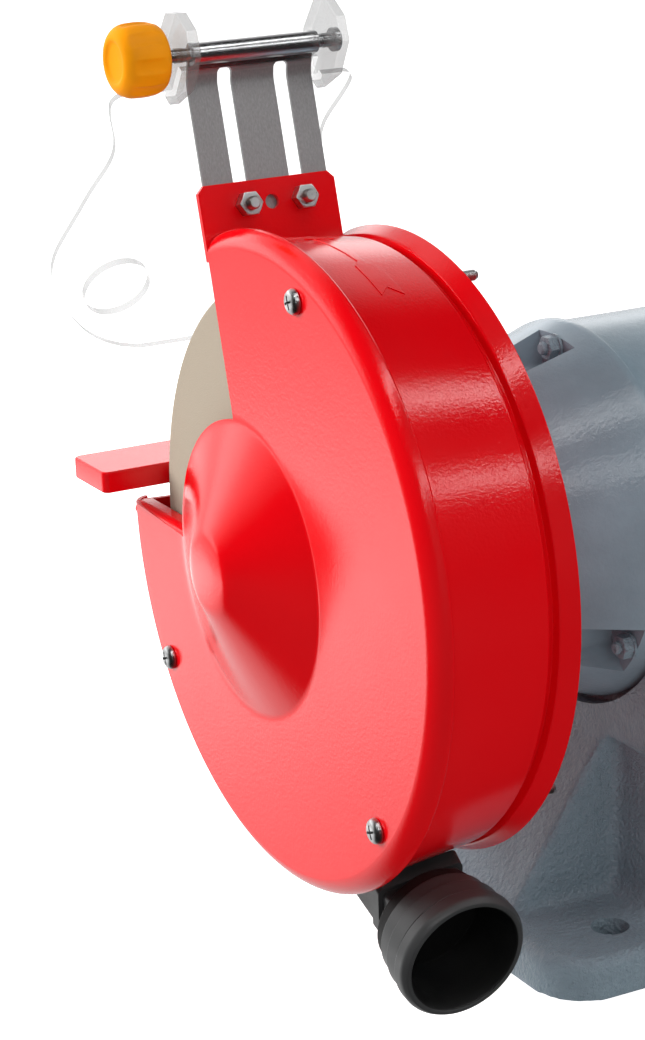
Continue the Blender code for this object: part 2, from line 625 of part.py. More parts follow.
def dust_outlet():
    """Flat adaptor in the band's slot, then the stepped round rubber spigot."""
    sections = [(0.0450, 0.0200, -0.0058, 0.0092), (0.0905, 0.0200, -0.0138, 0.0092),
                (0.0908, 0.0213, -0.0144, 0.0136), (0.0965, 0.0213, -0.0152, 0.0103),
                (0.0968, 0.0192, -0.0120, 0.0088), (ADAPTOR_END, 0.0192, -0.0120, 0.0088)]
    plate = make("spigot_flange", adaptor_loft(sections), BLACK)
    low, high = 0.1700, 0.2380
    cut(plate, lathe([(low, 0.0), (low, ADAPTOR_CLEAR_R), (high, ADAPTOR_CLEAR_R), (high, 0.0)], FINE))
    cut(plate, adaptor_loft([(0.0400, *PASSAGE), (ADAPTOR_END + 0.0020, *PASSAGE)]))
    both_sides(plate)
    base = ADAPTOR_END + GAP
    outer = [(0.0000, 0.0), (0.0000, SPIGOT_R - 0.0040), (0.0010, SPIGOT_R - 0.0031),
             (0.0060, SPIGOT_R - 0.0031), (0.0068, SPIGOT_R - 0.0020), (0.0150, SPIGOT_R - 0.0020),
             (0.0158, SPIGOT_R - 0.0010), (0.0245, SPIGOT_R - 0.0010), (0.0253, SPIGOT_R),
             (SPIGOT_LENGTH - 0.0020, SPIGOT_R), (SPIGOT_LENGTH, SPIGOT_R - 0.0020)]
    inner = [(SPIGOT_LENGTH, SPIGOT_R - 0.0045), (SPIGOT_LENGTH - 0.0080, SPIGOT_R - 0.0055),
             (0.0025, SPIGOT_R - 0.0070), (0.0025, 0.0)]
    profile = [(base + x, r) for x, r in outer + inner]
    spigot = make("dust_spigot", lathe(profile, MID, 0.0, 0.0), RUBBER)
    spigot.data.transform(outlet_matrix(SPIGOT_V))
    cut(spigot, adaptor_loft([(base - 0.0020, *PASSAGE), (base + 0.0050, *PASSAGE)]))
    both_sides(spigot)


# ---- motor ----
def tie_holes(radius, x_low, x_high):
    return round_holes([on_circle(TIE_R, degrees) + (radius,) for degrees in TIE_ANGLES], x_low, x_high)


def end_bell():
    seat = BEARING_X - GAP
    seat_end = BEARING_X + BEARING_W + GAP
    profile = [(HOUSING_X + GAP, BELL_R), (BELL_RIM_X, BELL_R), (BELL_END_X, BELL_END_R),
               (BELL_END_X, 0.0160), (seat_end, 0.0160), (seat_end, BEARING_R + GAP),
               (seat, BEARING_R + GAP), (seat, 0.0330), (0.1540, 0.0330), (0.1540, 0.0420),
               (0.1480, 0.0480), (0.0850, 0.0665), (0.0850, 0.0815), (HOUSING_X + GAP, 0.0815)]
    obj = make("end_bell", lathe(profile, FINE), GREY_PAINT)
    pockets = []
    for degrees in TIE_ANGLES:
        half = math.radians(11.0)
        middle = math.radians(degrees)
        outline = []
        for radius, share in ((0.0690, -0.8), (0.1000, -1.0), (0.1000, 1.0), (0.0690, 0.8), (0.0672, 0.4),
                              (0.0672, -0.4)):
            a = middle + half * share
            outline.append((radius * math.cos(a), SHAFT_Z + radius * math.sin(a)))
        pockets.append(prism(outline, POCKET_X, 0.150))
    cut(obj, *pockets)
    cut(obj, *tie_holes(0.0033, HOUSING_X - 0.004, POCKET_X + 0.004))
    both_sides(obj)


def motor_housing():
    profile = [(-HOUSING_X, 0.0843), (-HOUSING_X, MOTOR_R), (HOUSING_X, MOTOR_R), (HOUSING_X, 0.0843)]
    make("motor_housing", lathe(profile, FINE), GREY_PAINT)


def tie_bolts():
    head = POCKET_X + GAP
    for number, degrees in enumerate(TIE_ANGLES, 1):
        y, z = on_circle(TIE_R, degrees)
        end = head + 0.0085
        profile = [(-end, 0.0), (-end, 0.0030), (end, 0.0030), (end, 0.0)]
        obj = make("tie_bolt_%d" % number, lathe(profile, SHAFT_STEPS, y, z), ZINC)
        washer = [(head, 0.0), (head, 0.0061), (head + 0.0012, 0.0061), (head + 0.0012, 0.0)]
        join(obj, lathe(washer, COARSE, y, z), lathe([(-x, r) for x, r in washer], COARSE, y, z))
        join(obj, hexagon(head + 0.0010, head + 0.0060, 0.0100, y, z),
             hexagon(-head - 0.0060, -head - 0.0010, 0.0100, y, z))


def stator():
    half, bore, outer_r = 0.0450, 0.0505, 0.0840
    slots = 12
    profile = [(-half, bore), (-half, outer_r), (half, outer_r), (half, bore)]
    core = make("stator_core", lathe(profile, FINE), IRON)
    places = [on_circle(0.0600, 360.0 * (k + 0.5) / slots) for k in range(slots)]
    cut(core, *round_holes([place + (0.0058,) for place in places], -0.060, 0.060, 6))
    cut(core, *tie_holes(0.0036, -0.060, 0.060))
    low, high, inner, outer = half + 0.0010, half + 0.0160, 0.0535, 0.0690
    end_turns = [(low, inner), (low, outer), (high, outer), (high, inner)]
    winding = make("stator_winding", lathe(end_turns, MID), COPPER)
    join(winding, lathe([(-x, r) for x, r in reversed(end_turns)], MID))
    reach = half + 0.0050
    join(winding, *round_holes([place + (0.0048,) for place in places], -reach, reach, 6))


def rotor():
    profile = [(-0.0530, 0.0143), (-0.0530, 0.0460), (-0.0450, 0.0460), (-0.0450, 0.0500), (0.0450, 0.0500),
               (0.0450, 0.0460), (0.0530, 0.0460), (0.0530, 0.0143)]
    pivot(make("rotor", lathe(profile, MID), IRON), (0.0, 0.0, SHAFT_Z))


def shaft():
    """Stepped shaft: thick in the rotor, bearing seats, then a spindle at each end."""
    end = 0.2560
    half = [(0.0, 0.0140), (BEARING_X - 0.0010, 0.0140), (BEARING_X - 0.0010, 0.0122), (0.1600, 0.0122),
            (WHEEL_IN_X - 0.0115, 0.0122), (WHEEL_IN_X - 0.0115, SPINDLE_R), (end - 0.0015, SPINDLE_R),
            (end, SPINDLE_R - 0.0015), (end, 0.0)]
    profile = [(-x, r) for x, r in reversed(half[1:])] + half[1:]
    pivot(make("shaft", lathe(profile, SHAFT_STEPS), STEEL), (0.0, 0.0, SHAFT_Z))


def bearings():
    low, high = BEARING_X, BEARING_X + BEARING_W
    profile = [(low, 0.0125), (low, BEARING_R), (high, BEARING_R), (high, 0.0220), (high - 0.0010, 0.0215),
               (high - 0.0010, 0.0170), (high, 0.0165), (high, 0.0125)]
    both_sides(make("bearing", lathe(profile, MID), STEEL))


# ---- base and controls ----
def base():
    rings = []
    for z, inset in ((0.0, 0.0), (FOOT_Z - 0.0045, 0.0008), (FOOT_Z - 0.0015, 0.0024), (FOOT_Z, 0.0055)):
        outline = rounded_rectangle(FOOT_X - inset, FOOT_Y - inset, FOOT_CORNER - inset, 6)
        rings.append([(a, b, z) for a, b in outline])
    obj = make("base", stack(rings), GREY_PAINT)
    rings = []
    for z, grow, slim in ((FOOT_Z - 0.003, 0.008, 0.0), (FOOT_Z + 0.0035, 0.0025, 0.0),
                          (FOOT_Z + 0.009, 0.0, 0.0), (SADDLE_LOW_Z + 0.006, 0.0, 0.002)):
        outline = rounded_rectangle(COLUMN_X + grow - slim, COLUMN_Y + grow - slim, 0.012, 4)
        rings.append([(a, b, z) for a, b in outline])
    join(obj, stack(rings))
    join(obj, prism(rounded_rectangle(SADDLE_X, SADDLE_Y, 0.004, 3), SADDLE_LOW_Z, SADDLE_TOP_Z, "Z"))
    rib = [(-RIB_FOOT_X, FOOT_Z - 0.001), (RIB_FOOT_X, FOOT_Z - 0.001), (SADDLE_X - 0.0002, SADDLE_LOW_Z),
           (SADDLE_X - 0.0002, SADDLE_LOW_Z + 0.004), (-SADDLE_X + 0.0002, SADDLE_LOW_Z + 0.004),
           (-SADDLE_X + 0.0002, SADDLE_LOW_Z)]
    join(obj, prism(rib, -RIB_Y, RIB_Y, "Y"))
    seat_x, seat_r, relief_r = HOUSING_X - 0.0015, MOTOR_R + GAP, 0.0918
    seat = [(-0.100, 0.0), (-0.100, relief_r), (-seat_x, relief_r), (-seat_x, seat_r), (seat_x, seat_r),
            (seat_x, relief_r), (0.100, relief_r), (0.100, 0.0)]
    cut(obj, lathe(seat, FINE))
    cut(obj, box((-0.062, -0.056, -0.010), (0.062, 0.056, 0.090)))
    cut(obj, box((-0.0703, -0.0643, -0.010), (0.0703, 0.0643, 0.0018)))
    foot_holes = []
    for sx in (-1, 1):
        for sy in (-1, 1):
            hole = [(-0.001, 0.0), (-0.001, 0.0060), (0.0095, 0.0060), (0.0095, 0.0090), (0.0250, 0.0090),
                    (0.0250, 0.0)]
            turn = Matrix.Rotation(math.radians(-90.0), 4, "Y")
            place = Matrix.Translation((sx * FOOT_HOLE_X, sy * FOOT_HOLE_Y, 0.0))
            foot_holes.append(moved(lathe(hole, SHAFT_STEPS, 0.0, 0.0), place @ turn))
    cut(obj, *foot_holes)
    turn = Matrix.Rotation(math.radians(90.0), 4, "Z")
    gland_hole, switch_hole = round_holes([(0.0, 0.0, 0.0083), (0.0, 0.0, 0.0060)], 0.050, 0.090)
    cut(obj, moved(gland_hole, Matrix.Translation((GLAND_X, 0.0, GLAND_Z)) @ turn),
        moved(switch_hole, Matrix.Translation((0.0, 0.0, SWITCH_Z)) @ turn.inverted()))


def base_plate():
    plate = prism(rounded_rectangle(0.0700, 0.0640, 0.004, 3), 0.0, 0.0015, "Z")
    make("base_plate", plate, ZINC)


def capacitor():
    profile = [(-0.045, 0.0), (-0.045, 0.0170), (-0.043, 0.0180), (0.030, 0.0180), (0.032, 0.0165),
               (0.032, 0.0)]
    make("capacitor", lathe(profile, MID, 0.0, CAPACITOR_Z), BLACK)


def cable_gland():
    """Hex gland nut with a round rubber mouth, on the column's rear face."""
    wall = COLUMN_Y + GAP
    obj = make("cable_gland", hexagon(wall, wall + 0.0070, 0.0200), BLACK)
    mouth = [(wall - 0.0100, 0.0), (wall - 0.0100, 0.0078), (wall + 0.0090, 0.0078),
             (wall + 0.0150, 0.0068), (wall + 0.0190, 0.0055), (wall + 0.0190, 0.0)]
    join(obj, lathe(mouth, COARSE, 0.0, 0.0))
    cut(obj, *round_holes([(0.0, 0.0, 0.0038)], wall - 0.020, wall + 0.030))
    turn = Matrix.Rotation(math.radians(90.0), 4, "Z")
    obj.data.transform(Matrix.Translation((GLAND_X, 0.0, GLAND_Z)) @ turn)


def switch_parts():
    """Switch box on the front of the column, with a start and a stop button."""
    back = -COLUMN_Y - GAP
    front = back - SWITCH_DEPTH
    rings = []
    for y, inset in ((back, 0.0), (front + 0.003, 0.0), (front, 0.003)):
        outline = rounded_rectangle(SWITCH_HALF_X - inset, SWITCH_HALF_Z - inset, 0.006, 4)
        rings.append([(a, y, SWITCH_Z + b) for a, b in outline])
    obj = make("switch_box", stack(rings), BLACK)
    cut(obj, box((-SWITCH_HALF_X + 0.003, front + 0.003, SWITCH_Z - SWITCH_HALF_Z + 0.003),
                 (SWITCH_HALF_X - 0.003, back + 0.010, SWITCH_Z + SWITCH_HALF_Z - 0.003)))
    turn = Matrix.Rotation(math.radians(-90.0), 4, "Z")
    buttons = (("start_button", -0.0170, 0.0090, 0.0050, GREEN), ("stop_button", 0.0170, 0.0110, 0.0090, RED))
    for name, x, radius, height, finish in buttons:
        place = Matrix.Translation((x, 0.0, SWITCH_Z)) @ turn
        bore = radius + 0.0005
        cut(obj, moved(round_holes([(0.0, 0.0, bore)], -front - 0.006, -front + 0.004, MID)[0], place))
        inner = -front - 0.0120
        top = -front + height
        stem = radius - 0.003
        profile = [(inner, 0.0), (inner, stem), (inner + 0.004, stem), (inner + 0.004, radius),
                   (top - 0.0015, radius), (top, radius - 0.0015), (top + 0.0004, 0.0)]
        button = make(name, lathe(profile, MID, 0.0, 0.0), finish)
        button.data.transform(place)
        pivot(button, (x, front, SWITCH_Z))


def main():
    for obj in list(bpy.data.objects):
        bpy.data.objects.remove(obj)
    base()
    base_plate()
    motor_housing()
    end_bell()
    tie_bolts()
    stator()
    rotor()
    shaft()
    bearings()
    capacitor()
    cable_gland()
    switch_parts()
    guard_body()
    guard_cover()
    cover_bolts()
    wheel()
    flanges()
    spindle_nut()
    tool_rest()
    rest_arm()
    rest_bolt()
    slotted_plate()
    plate_bolts()
    shield_rod()
    shield_knob()
    eye_shield()
    dust_outlet()


main()
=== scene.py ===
"""Looks of the double-wheel bench grinder: fine meshes, finishes, studio and camera.

Metres, +Z up, the shaft along X. Side pieces are made for the right-hand end and mirrored to the left.
Every piece stands in for the CAD node it is named after and rides on that node's body.
"""
import json
from math import asin, atan2, cos, exp, hypot, pi, radians, remainder, sin, sqrt

import bmesh
import bpy
from mathutils import Matrix, Vector


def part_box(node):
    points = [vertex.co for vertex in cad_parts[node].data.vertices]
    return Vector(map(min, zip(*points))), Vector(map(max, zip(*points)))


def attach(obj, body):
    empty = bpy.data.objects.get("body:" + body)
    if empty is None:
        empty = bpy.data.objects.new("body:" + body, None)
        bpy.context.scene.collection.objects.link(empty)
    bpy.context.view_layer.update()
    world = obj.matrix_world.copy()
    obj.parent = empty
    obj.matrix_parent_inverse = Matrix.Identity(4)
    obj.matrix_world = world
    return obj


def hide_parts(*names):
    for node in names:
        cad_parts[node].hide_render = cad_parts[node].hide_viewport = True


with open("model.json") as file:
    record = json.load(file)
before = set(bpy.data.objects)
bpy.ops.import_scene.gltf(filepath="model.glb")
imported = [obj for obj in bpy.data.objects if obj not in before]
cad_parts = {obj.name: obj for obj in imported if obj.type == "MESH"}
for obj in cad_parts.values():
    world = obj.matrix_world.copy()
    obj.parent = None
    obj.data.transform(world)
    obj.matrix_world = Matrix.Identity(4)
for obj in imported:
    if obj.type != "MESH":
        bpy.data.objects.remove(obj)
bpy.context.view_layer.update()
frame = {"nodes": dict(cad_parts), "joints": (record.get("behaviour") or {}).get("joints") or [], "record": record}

# ---- what the frame says ----
RECORD = frame["record"]
BODY = {node: body for body, nodes in RECORD["behaviour"]["bodies"].items() for node in nodes}
SLOT = {sub["node"]: sub["material_slot"] for sub in RECORD["subparts"]}
JOINT = {joint["name"]: joint for joint in frame["joints"]}
SHAFT_Z = JOINT["spindle_spin"]["pos_m"][2]
ROD_Y, ROD_Z = JOINT["right_shield_tilt"]["pos_m"][1:]
LEAN = asin(-JOINT["right_plate_slide"]["axis"][1])
COVER_LOW, COVER_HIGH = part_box("right_guard_cover")
WHEEL_LOW, WHEEL_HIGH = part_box("right_wheel")
REST_LOW, REST_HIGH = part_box("right_tool_rest")
KNOB_LOW, KNOB_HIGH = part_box("right_shield_knob")
ROD_LOW, ROD_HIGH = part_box("right_shield_rod")
BELL_LOW, BELL_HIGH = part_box("right_end_bell")
HOUSING_LOW, HOUSING_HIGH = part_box("motor_housing")
BASE_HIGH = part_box("base")[1]
SWITCH_LOW, SWITCH_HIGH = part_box("switch_box")

# ---- sizes that the boxes don't give ----
BULGE_HEIGHT = 0.03
FACE_X = COVER_HIGH.x - BULGE_HEIGHT
COVER_R = SHAFT_Z - COVER_LOW.z
SHEET = 0.002
RIM_REACH, RIM_DROP = 0.0085, 0.008    # how far in and down the cover's crowned edge goes
BACK_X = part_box("right_guard_body")[0].x
GAP = 0.0003
WHEEL_R = (WHEEL_HIGH.z - WHEEL_LOW.z) / 2
SPINDLE_R = 0.01
BULGE_Y, BULGE_Z, BULGE_R = -0.0194, -0.006, 0.0678
OPEN_LOW = radians(181.7)
BOLT_CIRCLE, BOLT_HOLE_R = 0.132, 0.0029
BOLT_ANGLES = (73.4, -44.2, -145.6)
TAB_Y, TAB_Z = -0.0485, 0.14
TAB_LOW_X, TAB_HIGH_X = 0.1715, 0.2397
TAB_THICK, TAB_TOP, TAB_BOLT_S = 0.0025, 0.0225, 0.012
PLATE_LOW_X, PLATE_HIGH_X = 0.1734, 0.2352
PLATE_THICK, PLATE_BEND_S = 0.0015, 0.066
SLOT_X, SLOT_W = (0.189, 0.217), 0.007
TAB_HOLES_X = SLOT_X + (0.2042,)
M6_CLEAR_R = 0.0033
BAND_X, BAND_R, BAND_SLOPE = 0.18, 0.1392, 0.0058 / 0.0545    # the cone of the guard's rolled band
ROD_N, ROD_S, ROD_R, EYE_R = 0.0055, 0.08, 0.003, 0.005
SHIELD_TILT = radians(34.0)
SHIELD_THICK, SHIELD_X = 0.004, 0.2087
LUG_MIDDLES, LUG_REACH = (0.168, 0.2412), 0.0031
PANE_HOLE_X, PANE_HOLE_S, PANE_HOLE_R = 0.2431, 0.1408, 0.0165
REST_BOLT_Y, REST_BOLT_Z = -0.112, -0.026
OUTLET_X = 0.2042
OUTLET_DROP, OUTLET_ROLL = radians(13.0), radians(6.5)
ADAPTOR_V, ADAPTOR_CLEAR_R, ADAPTOR_END = -0.1222, 0.1285, 0.1031
PASSAGE = (0.017, -0.0085, 0.007)
SPIGOT_V, SPIGOT_LENGTH, SPIGOT_R = -0.1293, 0.034, 0.0306
MOTOR_R = (HOUSING_HIGH.z - HOUSING_LOW.z) / 2
BELL_R = (BELL_HIGH.z - BELL_LOW.z) / 2
BELL_RIM_X, BELL_END_R = 0.0824, 0.0593
TIE_R, TIE_ANGLES, POCKET_X = 0.0805, (85.0, -35.0, -155.0), 0.0925
FOOT_Z, FOOT_CORNER = 0.02, 0.028
FOOT_HOLE_X, FOOT_HOLE_Y = 0.106, 0.068
COLUMN_X, COLUMN_Y = 0.0806, 0.072
SADDLE_X, SADDLE_Y, SADDLE_LOW_Z = 0.0865, 0.078, 0.099
RIB_Y, RIB_FOOT_X = 0.034, 0.14
GLAND_X, GLAND_Z = -0.04, 0.045

HUGE, FINE, MID, SMALL = 224, 128, 72, 40    # steps round circles, from the guard down to the bolts
MERGE = 2e-6


# ---- materials ----
class Nodes:
    """A short way to lay out the nodes of one material, or of the world."""

    def __init__(self, name, kind=bpy.data.materials, shader="Principled BSDF", place="Object"):
        self.material = kind.new(name)
        self.material.use_nodes = True
        self.tree = self.material.node_tree
        self.shader = self.tree.nodes[shader]
        self.place = self.add("ShaderNodeTexCoord").outputs[place]

    def add(self, kind, **inputs):
        node = self.tree.nodes.new(kind)
        for name, value in inputs.items():
            self.feed(node.inputs[name.replace("_", " ")], value)
        return node

    def feed(self, socket, value):
        if isinstance(value, bpy.types.NodeSocket):
            self.tree.links.new(value, socket)
        else:
            socket.default_value = value

    def stretched(self, scale):
        mapping = self.add("ShaderNodeMapping", Vector=self.place)
        mapping.inputs["Scale"].default_value = scale
        return mapping.outputs["Vector"]

    def noise(self, scale, detail=2.0, rough=0.5, where=None):
        node = self.add("ShaderNodeTexNoise", Vector=where or self.place, Scale=scale, Detail=detail,
                        Roughness=rough)
        return node.outputs["Fac"]

    def cells(self, scale):
        return self.add("ShaderNodeTexVoronoi", Vector=self.place, Scale=scale).outputs["Distance"]

    def spread(self, value, low, high, at=(0.3, 0.7), ease="LINEAR"):
        """Map a value that runs between the two numbers of at onto low to high."""
        node = self.add("ShaderNodeMapRange", Value=value, From_Min=at[0], From_Max=at[1], To_Min=low,
                        To_Max=high)
        node.interpolation_type = ease
        return node.outputs["Result"]

    def maths(self, operation, one, two):
        node = self.tree.nodes.new("ShaderNodeMath")
        node.operation = operation
        self.feed(node.inputs[0], one)
        self.feed(node.inputs[1], two)
        return node.outputs["Value"]

    def colours(self, value, *stops):
        """Colour ramp of (position, colour) stops."""
        node = self.add("ShaderNodeValToRGB", Fac=value)
        ramp = node.color_ramp
        while len(ramp.elements) < len(stops):
            ramp.elements.new(0.5)
        for element, (position, colour) in zip(ramp.elements, stops):
            element.position = position
            element.color = (*colour, 1.0)
        return node.outputs["Color"]

    def bump(self, height, distance, strength=1.0, under=None):
        node = self.add("ShaderNodeBump", Height=height, Distance=distance, Strength=strength)
        if under is not None:
            self.feed(node.inputs["Normal"], under)
        return node.outputs["Normal"]

    def finish(self, **inputs):
        for name, value in inputs.items():
            self.feed(self.shader.inputs[name.replace("_", " ")], value)
        return self.material


def shade_of(colour, factor):
    return tuple(min(1.0, c * factor) for c in colour)


def red_paint():
    """Gloss powder coat: even red, fine orange peel and a slow waviness."""
    n = Nodes("red_powder_coat")
    red = (0.8, 0.001, 0.005)
    colour = n.colours(n.noise(9.0, 3.0), (0.35, shade_of(red, 0.95)), (0.65, red))
    wave = n.bump(n.noise(60.0, 1.0, 0.4), 0.00022, 0.15)
    peel = n.bump(n.noise(760.0, 2.0, 0.55), 0.00013, 0.65, wave)
    return n.finish(Base_Color=colour, Roughness=n.spread(n.noise(15.0, 2.0), 0.13, 0.17), Normal=peel,
                    IOR=1.5)


def grey_casting(name, lump, depth, rough):
    """Semi-gloss blue-grey paint over a surface with the grain of sand casting."""
    n = Nodes(name)
    grey = (0.24, 0.315, 0.37)
    colour = n.colours(n.noise(26.0, 4.0, 0.6), (0.3, shade_of(grey, 0.86)), (0.72, shade_of(grey, 1.1)))
    coarse = n.bump(n.noise(lump, 3.0, 0.6), depth, 0.9)
    fine = n.bump(n.noise(lump * 3.1, 2.0, 0.5), depth * 0.25, 0.7, coarse)
    return n.finish(Base_Color=colour, Roughness=n.spread(n.noise(70.0, 3.0), rough - 0.05, rough + 0.06),
                    Normal=fine)


def metal(name, colour, rough, grain, depth, stretch=(1.0, 1.0, 1.0), metallic=1.0):
    """Metal with a fine grain, which stretch turns into brushing or turning marks."""
    n = Nodes(name)
    where = n.stretched(stretch)
    tint = n.colours(n.noise(grain * 0.12, 3.0, 0.6, where), (0.3, shade_of(colour, 0.84)),
                     (0.7, shade_of(colour, 1.08)))
    marks = n.noise(grain, 3.0, 0.6, where)
    return n.finish(Base_Color=tint, Metallic=metallic, Roughness=n.spread(marks, rough - 0.08, rough + 0.09),
                    Normal=n.bump(marks, depth, 0.6))


def abrasive():
    """Bonded grit: pale tan grains with grey, white and brown specks, and open pores."""
    n = Nodes("bonded_abrasive")
    grain = n.noise(2300.0, 2.0, 0.6)
    tan = (0.415, 0.355, 0.28)
    colour = n.colours(grain, (0.28, shade_of(tan, 0.72)), (0.44, shade_of(tan, 0.96)), (0.58, tan),
                       (0.74, shade_of(tan, 1.25)))
    pores = n.bump(n.cells(1300.0), 0.0001, 0.6)
    return n.finish(Base_Color=colour, Roughness=0.93, Specular_IOR_Level=0.2,
                    Normal=n.bump(grain, 0.00008, 0.6, pores))


def moulded(name, colour, rough, grain=450.0, depth=0.00004, gloss=0.5):
    """Moulded plastic or rubber: faint cloudiness and a fine texture from the mould."""
    n = Nodes(name)
    tint = n.colours(n.noise(30.0, 3.0), (0.3, shade_of(colour, 0.86)), (0.7, shade_of(colour, 1.12)))
    skin = n.bump(n.noise(grain, 2.0), depth, 0.6)
    return n.finish(Base_Color=tint, Roughness=n.spread(n.noise(60.0, 3.0), rough - 0.06, rough + 0.08),
                    Normal=skin, Specular_IOR_Level=gloss)


def clear_plastic(name, grey, least, most):
    """Clear polycarbonate: seen through face on, greyer where it is seen at a slant, with light scuffs."""
    n = Nodes(name)
    scuffs = n.noise(60.0, 4.0, 0.7, n.stretched((1.0, 3.0, 1.0)))
    colour = n.colours(scuffs, (0.35, (grey, grey, grey)), (0.75, shade_of((grey, grey, grey), 1.25)))
    facing = n.add("ShaderNodeLayerWeight", Blend=0.3).outputs["Facing"]
    slant = n.spread(facing, least, most, (0.15, 0.85))
    return n.finish(Base_Color=colour, Roughness=n.spread(scuffs, 0.06, 0.16, (0.5, 0.8)), IOR=1.55,
                    Alpha=slant, Normal=n.bump(n.noise(25.0, 2.0), 0.0002, 0.35))


def rolled_sheet():
    """Satin steel sheet whose rolled top, round the shield rod, is painted lighter with streaks along its length
    as a painted highlight for the shine on the roll, and is also made fully metallic and smoother.
    """
    n = Nodes("satin_sheet")
    split = n.add("ShaderNodeSeparateXYZ", Vector=n.place)
    # Painted highlight: above this height the rolled top takes a lighter, streaked colour for the shine on the
    # roll, and is also fully metallic and smoother.
    highlight_mask = n.spread(split.outputs["Z"], 0.0, 1.0, (ROD_Z - 0.0105, ROD_Z - 0.0075))
    marks = n.noise(1500.0, 3.0, 0.6, n.stretched((1.0, 0.8, 0.35)))
    streaks = n.noise(900.0, 2.0, 0.6, n.stretched((0.05, 1.0, 1.0)))
    satin = n.colours(marks, (0.3, (0.255, 0.255, 0.258)), (0.7, (0.33, 0.33, 0.334)))
    highlight_colours = n.colours(streaks, (0.3, (0.5, 0.5, 0.51)), (0.7, (0.74, 0.74, 0.75)))
    tint = n.add("ShaderNodeMix")
    tint.data_type = "RGBA"
    n.feed(tint.inputs[0], highlight_mask)
    n.feed(tint.inputs[6], satin)
    n.feed(tint.inputs[7], highlight_colours)
    return n.finish(Base_Color=tint.outputs[2], Metallic=n.spread(highlight_mask, 0.55, 1.0, (0.0, 1.0)),
                    Roughness=n.spread(highlight_mask, 0.5, 0.27, (0.0, 1.0)),
                    Normal=n.bump(streaks, 0.00004, 0.5, n.bump(marks, 0.00003, 0.5)))


def windings():
    n = Nodes("copper_windings")
    wires = n.noise(400.0, 2.0, 0.5, n.stretched((1.0, 8.0, 8.0)))
    return n.finish(Base_Color=n.colours(wires, (0.35, (0.35, 0.12, 0.05)), (0.65, (0.8, 0.36, 0.16))),
                    Metallic=1.0, Roughness=0.36, Normal=n.bump(wires, 0.0004, 0.8))


FINISH = {
    "red_paint": red_paint(),
    "grey_paint": grey_casting("smooth_grey_paint", 520.0, 0.00022, 0.15),
    "cast_grey": grey_casting("cast_grey_paint", 400.0, 0.0024, 0.34),
    "steel": metal("turned_steel", (0.56, 0.57, 0.58), 0.24, 900.0, 0.00003, (1.0, 8.0, 8.0)),
    "sheet_steel": rolled_sheet(),
    "zinc": metal("zinc_plate", (0.6, 0.61, 0.61), 0.34, 700.0, 0.00003),
    "iron": metal("laminated_iron", (0.22, 0.22, 0.23), 0.5, 900.0, 0.00008, (9.0, 1.0, 1.0)),
    "copper": windings(),
    "abrasive": abrasive(),
    "rubber": moulded("black_rubber", (0.046, 0.047, 0.048), 0.38, 700.0, 0.00006),
    "clear_plastic": clear_plastic("clear_polycarbonate", 0.3, 0.03, 0.45),
    "orange_plastic": moulded("orange_plastic", (0.9, 0.31, 0.0), 0.55, 500.0, 0.00003, 0.12),
    "black_plastic": moulded("black_plastic", (0.036, 0.036, 0.037), 0.34),
    "green_plastic": moulded("green_plastic", (0.012, 0.26, 0.05), 0.34),
    "red_plastic": moulded("red_plastic", (0.62, 0.012, 0.014), 0.34),
}
SMOOTH_GREY = FINISH["grey_paint"]
# Darker, more opaque copies of the clear plastic for the pane's edges and lugs: painted shade for how light bends
# through the edges and the thick lugs.
CLEAR_EDGE_SHADE = clear_plastic("polycarbonate_edge_painted_shade", 0.1, 0.45, 0.8)
CLEAR_LUG_SHADE = clear_plastic("polycarbonate_lug_painted_shade", 0.22, 0.26, 0.7)
# Near-black rubber for the inside of the spigot's bore: painted shade.
SPIGOT_BORE_SHADE = moulded("rubber_bore_painted_shade", (0.006, 0.006, 0.006), 0.6, 700.0, 0.00006)


# ---- making meshes ----
def angles_round(steps):
    return [2.0 * pi * k / steps for k in range(steps)]


def stack(rings, closed=False):
    """Join rings of points with faces, capping both ends unless the stack closes on itself."""
    bm = bmesh.new()
    loops = [[bm.verts.new(point) for point in ring] for ring in rings]
    count = len(loops)
    for low in range(count if closed else count - 1):
        ring, above = loops[low], loops[(low + 1) % count]
        steps = max(len(ring), len(above))
        if steps == 1:
            continue
        for k in range(steps):
            nxt = (k + 1) % steps
            corners = [ring[k % len(ring)], ring[nxt % len(ring)],
                       above[nxt % len(above)], above[k % len(above)]]
            face = [v for i, v in enumerate(corners) if v not in corners[:i]]
            bm.faces.new(face)
    if not closed:
        for cap in (loops[0], loops[-1]):
            if len(cap) > 2:
                bm.faces.new(cap)
    bmesh.ops.recalc_face_normals(bm, faces=bm.faces)
    return bm


def eased(points, radius=0.0005, steps=3, closed=True):
    """An outline with its corners rounded; a third number in a point is that corner's own radius."""
    flat = [Vector(p[:2]) for p in points]
    own = [p[2] if len(p) > 2 else radius for p in points]
    result = []
    for k, corner in enumerate(flat):
        if not closed and k in (0, len(flat) - 1):
            result.append(tuple(corner))
            continue
        before, after = flat[k - 1] - corner, flat[(k + 1) % len(flat)] - corner
        reach = min(own[k], 0.45 * before.length, 0.45 * after.length)
        if reach < 1e-5:
            result.append(tuple(corner))
            continue
        start, end = corner + before.normalized() * reach, corner + after.normalized() * reach
        for j in range(steps + 1):
            t = j / steps
            result.append(tuple(start * (1 - t) ** 2 + corner * 2 * t * (1 - t) + end * t * t))
    return result


def circle(x, radius, y=0.0, z=SHAFT_Z, steps=HUGE):
    return [(x, y + radius * cos(a), z + radius * sin(a)) for a in angles_round(steps)]


def disc(low, high, radius):
    """Profile of a plain cylinder."""
    return [(low, 0.0), (low, radius), (high, radius), (high, 0.0)]


def along_from(start, *points):
    """Profile points whose X is counted from start."""
    return [(start + point[0], *point[1:]) for point in points]


